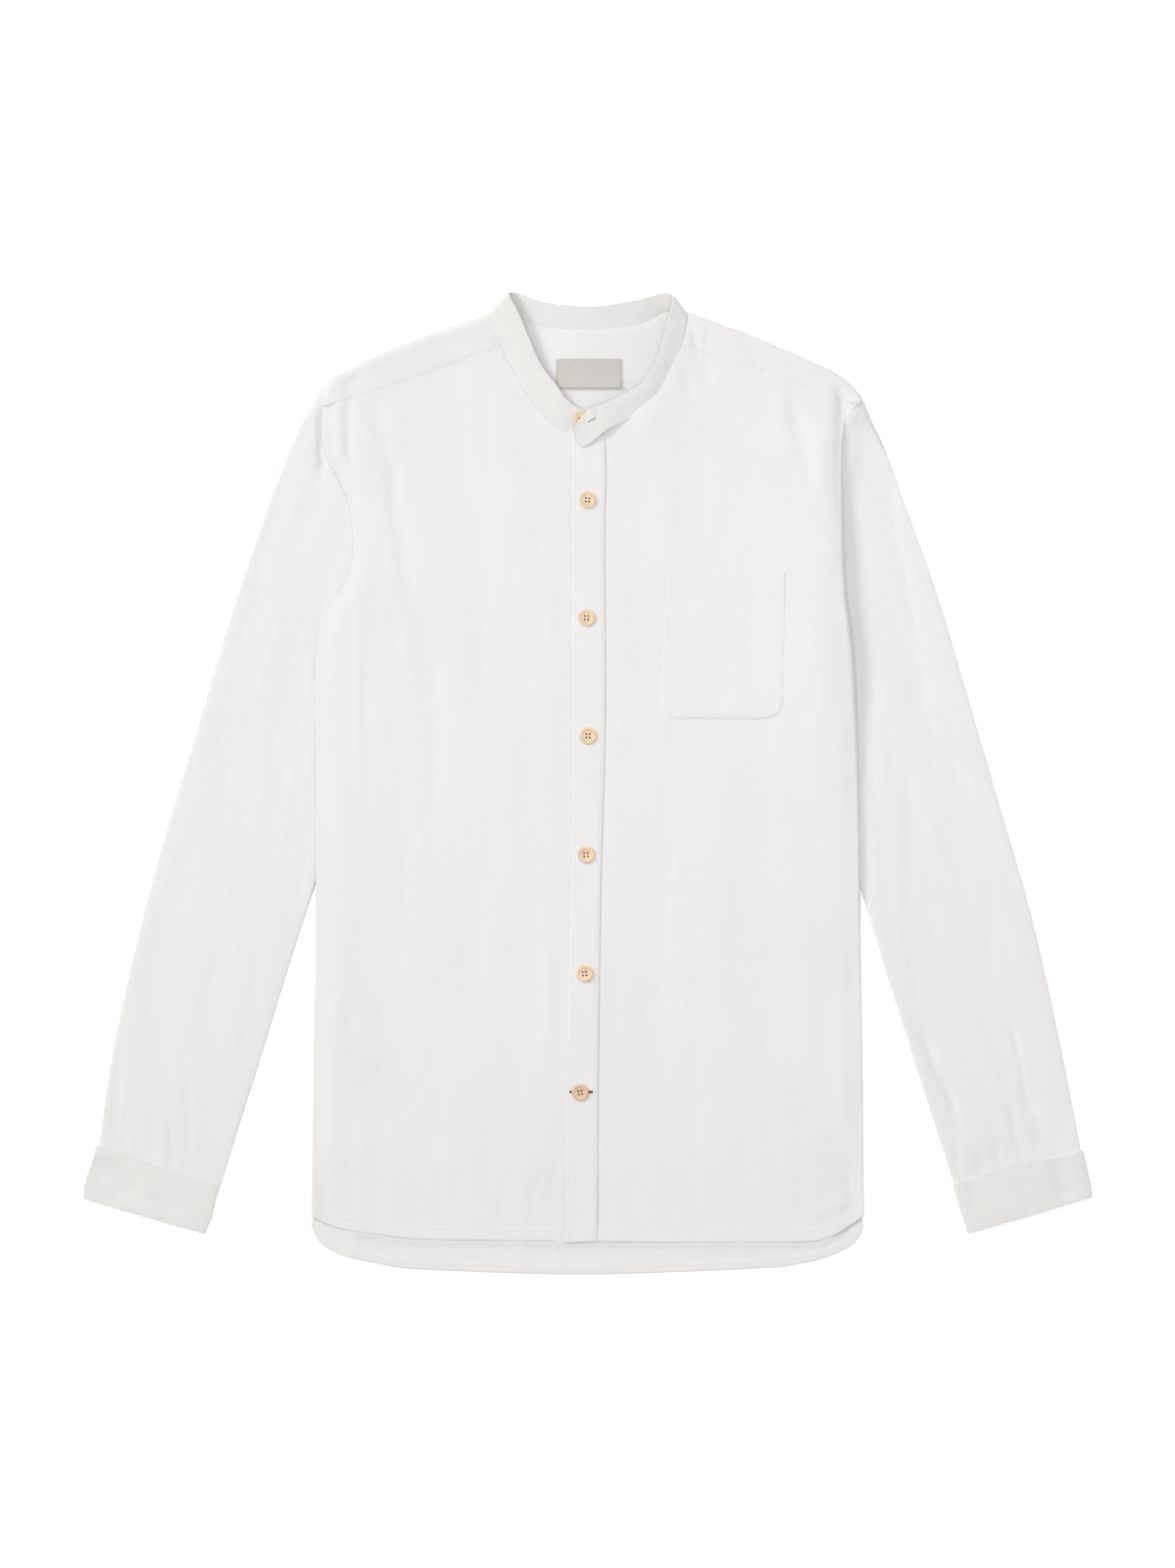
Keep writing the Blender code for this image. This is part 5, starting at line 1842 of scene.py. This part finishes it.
@dataclass
class Button:
    """A turned four-hole button.

    Attributes:
        radius: its radius.
        rim: radius of the top of the raised rim.
        well: radius of the sunk middle.
        height: its full height.
        depth: height of the sunk middle's floor.
        hole: radius of a hole.
        reach: distance of a hole from the centre line, both ways.
        strand: distance of each of its two strands from the middle of a hole.
        sunk: how far the thread lies below the sunk middle's floor.
    """

    radius: float = 6.9
    rim: float = 5.9
    well: float = 4.5
    height: float = 2.4
    depth: float = 1.75
    hole: float = 0.84
    reach: float = 1.42
    strand: float = 0.3
    sunk: float = 0.35

    def turned(self) -> BMesh:
        """Spin the profile round the middle."""
        profile = ((0.0, 0.0), (self.radius - 1.2, 0.0), (self.radius - 0.5, 0.3),
                   (self.radius - 0.1, 0.8), (self.radius, 1.3), (self.radius - 0.15, 1.8),
                   (self.radius - 0.5, 2.25), (self.rim, self.height - 0.08),
                   (self.rim - 0.4, self.height), (self.rim - 0.8, self.height - 0.1),
                   (self.well, self.depth + 0.12), (self.well - 0.6, self.depth), (0.0, self.depth))
        shape = bmesh.new()
        verts = [shape.verts.new((radius * MM, 0.0, height * MM)) for radius, height in profile]
        edges = [shape.edges.new(pair) for pair in zip(verts, verts[1:])]
        bmesh.ops.spin(shape, geom=verts + edges, axis=(0, 0, 1), cent=(0, 0, 0),
                       angle=2 * math.pi, steps=48, use_merge=True)
        bmesh.ops.remove_doubles(shape, verts=shape.verts, dist=0.000005)
        bmesh.ops.recalc_face_normals(shape, faces=shape.faces)
        return shape

    def drills(self) -> BMesh:
        """Four pins that cut the holes."""
        shape = bmesh.new()
        for across, down in HOLES:
            place = Vector((across * self.reach, down * self.reach, self.height / 2)) * MM
            bmesh.ops.create_cone(shape, cap_ends=True, segments=16, radius1=self.hole * MM,
                                  radius2=self.hole * MM, depth=2 * self.height * MM,
                                  matrix=Matrix.Translation(place))
        return shape

    def build(self, name: str, finish: Material, place: Matrix) -> Object:
        """Make one button.

        Args:
            name: the piece's name.
            finish: its finish.
            place: where it sits and how it is turned.

        Returns:
            The button.
        """
        body, pins = self.turned(), self.drills()
        blanks = []
        for shape in (body, pins):
            mesh = bpy.data.meshes.new(name + "_blank")
            shape.to_mesh(mesh)
            shape.free()
            item = bpy.data.objects.new(name + "_blank", mesh)
            bpy.context.scene.collection.objects.link(item)
            blanks.append(item)
        cut = blanks[0].modifiers.new("holes", "BOOLEAN")
        cut.operation, cut.solver, cut.object = "DIFFERENCE", "EXACT", blanks[1]
        graph = bpy.context.evaluated_depsgraph_get()
        shape = bmesh.new()
        shape.from_object(blanks[0], graph)
        for item in blanks:
            bpy.data.objects.remove(item)
        shape.transform(place)
        piece = finish_piece(name, shape, finish, 40.0)
        return piece

    def sew(self, row: StitchRow, place: Matrix) -> None:
        """Dark thread sunk in the four holes."""
        up = (place.to_3x3() @ Vector((0, 0, 1))).normalized()
        for across, down in HOLES:
            for strand in (-self.strand, self.strand):
                ends = [place @ (Vector((across * self.reach + end * self.hole,
                                         down * self.reach + strand, self.depth - self.sunk)) * MM)
                        for end in (-1, 1)]
                row.stitch((ends[0] + ends[1]) / 2, ends[1] - ends[0], up)


@dataclass
class Shirt:
    """Every piece of the shirt, built and dressed."""

    finishes: Wardrobe
    made: dict = field(default_factory=dict)

    def build(self) -> None:
        """Build the panels first, then what is sewn on them."""
        self.build_body()
        self.build_arms()
        self.build_trim()
        self.build_stitching()
        self.build_buttons()
        self.build_holes()

    def build_body(self) -> None:
        """Back, yoke and the two fronts."""
        cloth = self.finishes.shirting
        back = Back(Cut(0.56, 0.70, 0.31))
        self.made["back"] = lay(back.build(cloth), "back")
        yoke = Yoke(Cut(0.46, 0.20, 0.062))
        self.made["yoke"] = lay(yoke.build(cloth), "yoke")
        under = SmoothLine(tuple((UNDER_EDGE_X, y) for y in UNDER_EDGE_ROWS))
        over = SmoothLine(tuple((x + OVER_EDGE_IN, y) for x, y in PLACKET_FREE))
        on = ("back_panel", "left_sleeve", "right_sleeve")
        fronts = (Front(LEFT, under, Cut(0.27, 0.70, 0.155, on), lapped=True),
                  Front(RIGHT, over, Cut(0.27, 0.70, 0.165, on)))
        for front in fronts:
            node = "front_" + front.side.name
            self.made[node] = lay(front.build(cloth), node)

    def build_arms(self) -> None:
        """Sleeves and cuffs."""
        for side in (LEFT, RIGHT):
            sleeve = Tube(f"{side.name}_sleeve", side.sign, side.sleeve, CLOTH, 216,
                          Cut(0.46, 0.62, 0.150), crown=side.crown, slope=SLEEVE_SLOPE,
                          shoulder=SLEEVE_SHOULDER, tucked=1.0)
            self.made["sleeve_" + side.name] = lay(
                sleeve.build(self.finishes.shirting, 1 / 84), "sleeve_" + side.name)
            cuff = Tube(f"{side.name}_cuff", side.sign, side.cuff, CUFF_WALL, 30,
                        Cut(0.225, 0.042, 0.0093), 0.7, edge=1.3)
            self.made["cuff_" + side.name] = lay(
                cuff.build(self.finishes.firm, 1 / 66), "cuff_" + side.name)

    def build_trim(self) -> None:
        """Placket, pocket, collar band and label."""
        placket = Placket(Cut(0.027, 0.66, 0.0172, ("right_front_panel",)))
        pocket = Pocket(Cut(0.098, 0.12, 0.0115, ("right_front_panel",)))
        band = CollarBand(Cut(0.46, 0.028, 0.0118, ("yoke_panel",)))
        label = NeckLabel(Cut(0.053, 0.024, 0.00127, ("yoke_panel",)))
        for node, part, finish, slot in (
                ("placket", placket, self.finishes.shirting, Slot.FIRM),
                ("pocket", pocket, self.finishes.shirting, Slot.SHIRTING),
                ("collar_band", band, self.finishes.firm, Slot.FIRM),
                ("neck_label", label, self.finishes.tape, Slot.LABEL)):
            self.made[node] = lay(part.build(finish), node)

    def build_stitching(self) -> None:
        """Rows of stitches along the edges and seams."""
        touch = {name: Touch(self.made[name]) for name in self.made}
        white = self.finishes.thread
        hem = SmoothLine(FRONT_HEM).points()
        tail = SmoothLine(BACK_HEM).points()
        for side in (LEFT, RIGHT):
            node = "front_" + side.name
            row = StitchRow(f"{node}_hem_stitches")
            row.sew(touch[node], FRONT_TURNED_HEM.stitches(
                hem[hem[:, 0] * side.sign > side.hem_stitch_start]))
            row.finish(white, Slot.SHIRTING)
            seam = SmoothLine(side.yoke_seam).points()
            row = StitchRow(f"yoke_{side.name}_stitches")
            row.sew(touch["yoke"], seam[YOKE_STITCH_ENDS] + (0.0, YOKE_STITCH_IN))
            row.finish(white, Slot.SHIRTING)
        row = StitchRow("tail_hem_stitches")
        row.sew(touch["back"], TAIL_TURNED_HEM.stitches(tail))
        row.finish(white, Slot.SHIRTING)
        row = StitchRow("placket_stitches")
        for line, inset in ((PLACKET_SEAM, -PLACKET_STITCH_IN), (PLACKET_EDGE, PLACKET_STITCH_IN)):
            row.sew(touch["placket"], line.points()[::-1] + (inset, 0.0))
        row.finish(white, Slot.FIRM)
        row = StitchRow("pocket_stitches")
        row.sew(touch["pocket"], Pocket.outline(POCKET_STITCH_IN))
        row.sew(touch["pocket"], Pocket.hem_line())
        row.finish(white, Slot.SHIRTING)
        self.stitch_label(touch["neck_label"])

    def stitch_label(self, touch: Touch) -> None:
        """Stitches round the border of the label."""
        row = StitchRow("label_stitches", 1.6, 2.0, 0.28)
        x0, x1 = LABEL_LEFT + LABEL_STITCH_IN, LABEL_RIGHT - LABEL_STITCH_IN
        y0, y1 = LABEL_BOTTOM + LABEL_STITCH_IN, LABEL_TOP - LABEL_STITCH_IN
        row.sew(touch, np.array([(x0, y0), (x1, y0), (x1, y1), (x0, y1), (x0, y0)]))
        row.finish(self.finishes.tape_thread, Slot.LABEL)

    def build_buttons(self) -> None:
        """Seven buttons, each with its thread."""
        places = [(x, y, front_surface(np.array(x), np.array(y)) + BUTTON_SEAT, 3.0 * k - 6.0)
                  for k, (x, y) in enumerate(BUTTONS)]
        places.append((*COLLAR_BUTTON, 20.0))
        thread = StitchRow("button_threads", thick=0.7)
        for number, (x, y, z, turn) in enumerate(places, start=1):
            place = (Matrix.Translation(Vector((x, y, float(z))) * MM)
                     @ Matrix.Rotation(math.radians(turn), 4, "Z"))
            collar = number > len(BUTTONS)
            finish = self.finishes.low_button if number == len(BUTTONS) else self.finishes.button
            name = "collar_front_button" if collar else f"front_button_{number}"
            node = "button_collar" if collar else f"button_{number}"
            button = Button()
            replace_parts(button.build(name, finish, place), node)
            button.sew(thread, place)
        thread.finish(self.finishes.wine_thread, Slot.BUTTON)

    def build_holes(self) -> None:
        """The two buttonholes that show: one under the lowest button, one in the tab."""
        row = StitchRow("low_buttonhole", 2.8, 0.42, 0.5)
        touch = Touch(self.made["placket"])
        self.buttonhole(row, touch, LOW_BUTTONHOLE + BUTTONS[-1])
        row.finish(self.finishes.wine_thread, Slot.FIRM)
        row = StitchRow("tab_buttonhole", 1.3, 0.42, 0.36)
        touch = Touch(self.made["collar_band"])
        self.buttonhole(row, touch, TAB_BUTTONHOLE)
        row.finish(self.finishes.brown_thread, Slot.FIRM)

    def buttonhole(self, row: StitchRow, touch: Touch, line: Array) -> None:
        """Dense stitches across a slit.

        Args:
            row: the row that they are added to.
            touch: the piece that is sewn.
            line: the two ends of the slit.
        """
        run = line[1] - line[0]
        reach = float(np.hypot(*run))
        across = np.array((-run[1], run[0])) / reach * row.length / 2
        for share in np.arange(0.0, 1.0, row.pitch / reach):
            middle = line[0] + run * share
            ends = [touch.find(*(middle + across * k)) for k in (-1, 1)]
            if None not in ends:
                (first, normal), (second, _) = ends
                row.stitch((first + second) / 2, second - first, normal)


# ---------------------------------------------------------------- camera, floor and light

@dataclass
class Studio:
    """Camera straight above, a pale floor and soft light from the upper left.

    Attributes:
        height: height of the camera over the surface, in metres.
        lens: focal length for a 36 mm long side.
        floor: half the width of the floor, in metres.
        glow: how bright the floor is by itself.
        fill: strength of the even light from all round.
    """

    height: float = 3.2
    lens: float = 90.0
    floor: float = 4.0
    glow: float = 0.3
    fill: float = 0.449

    def build(self) -> None:
        """Set up the camera, the floor and the lights."""
        scene = bpy.context.scene
        scene.view_settings.view_transform = "Standard"
        self.build_camera(scene)
        self.build_floor()
        self.build_lights(scene)

    def build_camera(self, scene: Scene) -> None:
        """Look straight down, with the collar at the top."""
        data = bpy.data.cameras.new("overhead")
        data.lens, data.sensor_width = self.lens, 36.0
        data.clip_start, data.clip_end = 0.05, 50.0
        camera = bpy.data.objects.new("overhead", data)
        camera.location = (0.0, -0.0008, self.height)
        scene.collection.objects.link(camera)
        scene.camera = camera

    def build_floor(self) -> None:
        """A plain pale floor under the shirt."""
        shape = bmesh.new()
        bmesh.ops.create_grid(shape, x_segments=1, y_segments=1, size=self.floor,
                              matrix=Matrix.Translation((0, 0, -0.0003)))
        mesh = bpy.data.meshes.new("floor")
        shape.to_mesh(mesh)
        shape.free()
        material, sheet, shader = new_material("pale_floor", 0.95)
        place = sheet.add("ShaderNodeTexCoord").outputs["Object"]
        cloudy = sheet.noise(place, (3.0, 3.0, 3.0))
        sheet.feed(shader.inputs["Base Color"],
                   sheet.two_tones(cloudy, (0.965, 0.965, 0.965), (0.985, 0.985, 0.985)))
        shader.inputs["Specular IOR Level"].default_value = 0.1
        shader.inputs["Emission Color"].default_value = (1.0, 1.0, 1.0, 1.0)
        shader.inputs["Emission Strength"].default_value = self.glow
        mesh.materials.append(material)
        floor = bpy.data.objects.new("floor", mesh)
        bpy.context.scene.collection.objects.link(floor)

    def build_lights(self, scene: Scene) -> None:
        """A large soft key light and an even fill."""
        for name, place, size, power, colour in (
                ("key", (-9.9, 5.7, 7.1), 3.9, 810.0, (1.0, 0.998, 0.99)),
                ("top", (-0.02, 0.2, 1.7), 0.9, 11.0, (0.99, 0.995, 1.0)),
                ("right", (2.9, 0.5, 1.6), 2.0, 7.0, (0.98, 0.985, 1.0))):
            data = bpy.data.lights.new(name, "AREA")
            data.shape, data.size, data.energy, data.color = "SQUARE", size, power, colour
            light = bpy.data.objects.new(name, data)
            light.location = place
            aim = Vector((0.0, 0.05, 0.0)) - Vector(place)
            light.rotation_euler = aim.to_track_quat("-Z", "Y").to_euler()
            scene.collection.objects.link(light)
        world = bpy.data.worlds.new("studio")
        world.use_nodes = True
        back = world.node_tree.nodes["Background"]
        back.inputs["Color"].default_value = (1.0, 1.0, 1.0, 1.0)
        back.inputs["Strength"].default_value = self.fill
        scene.world = world


def main() -> None:
    """Build the shirt and the studio round it."""
    logging.basicConfig(level=logging.INFO, format="%(name)s: %(message)s")
    Shirt(Wardrobe.make()).build()
    Studio().build()


if __name__ == "__main__":
    main()
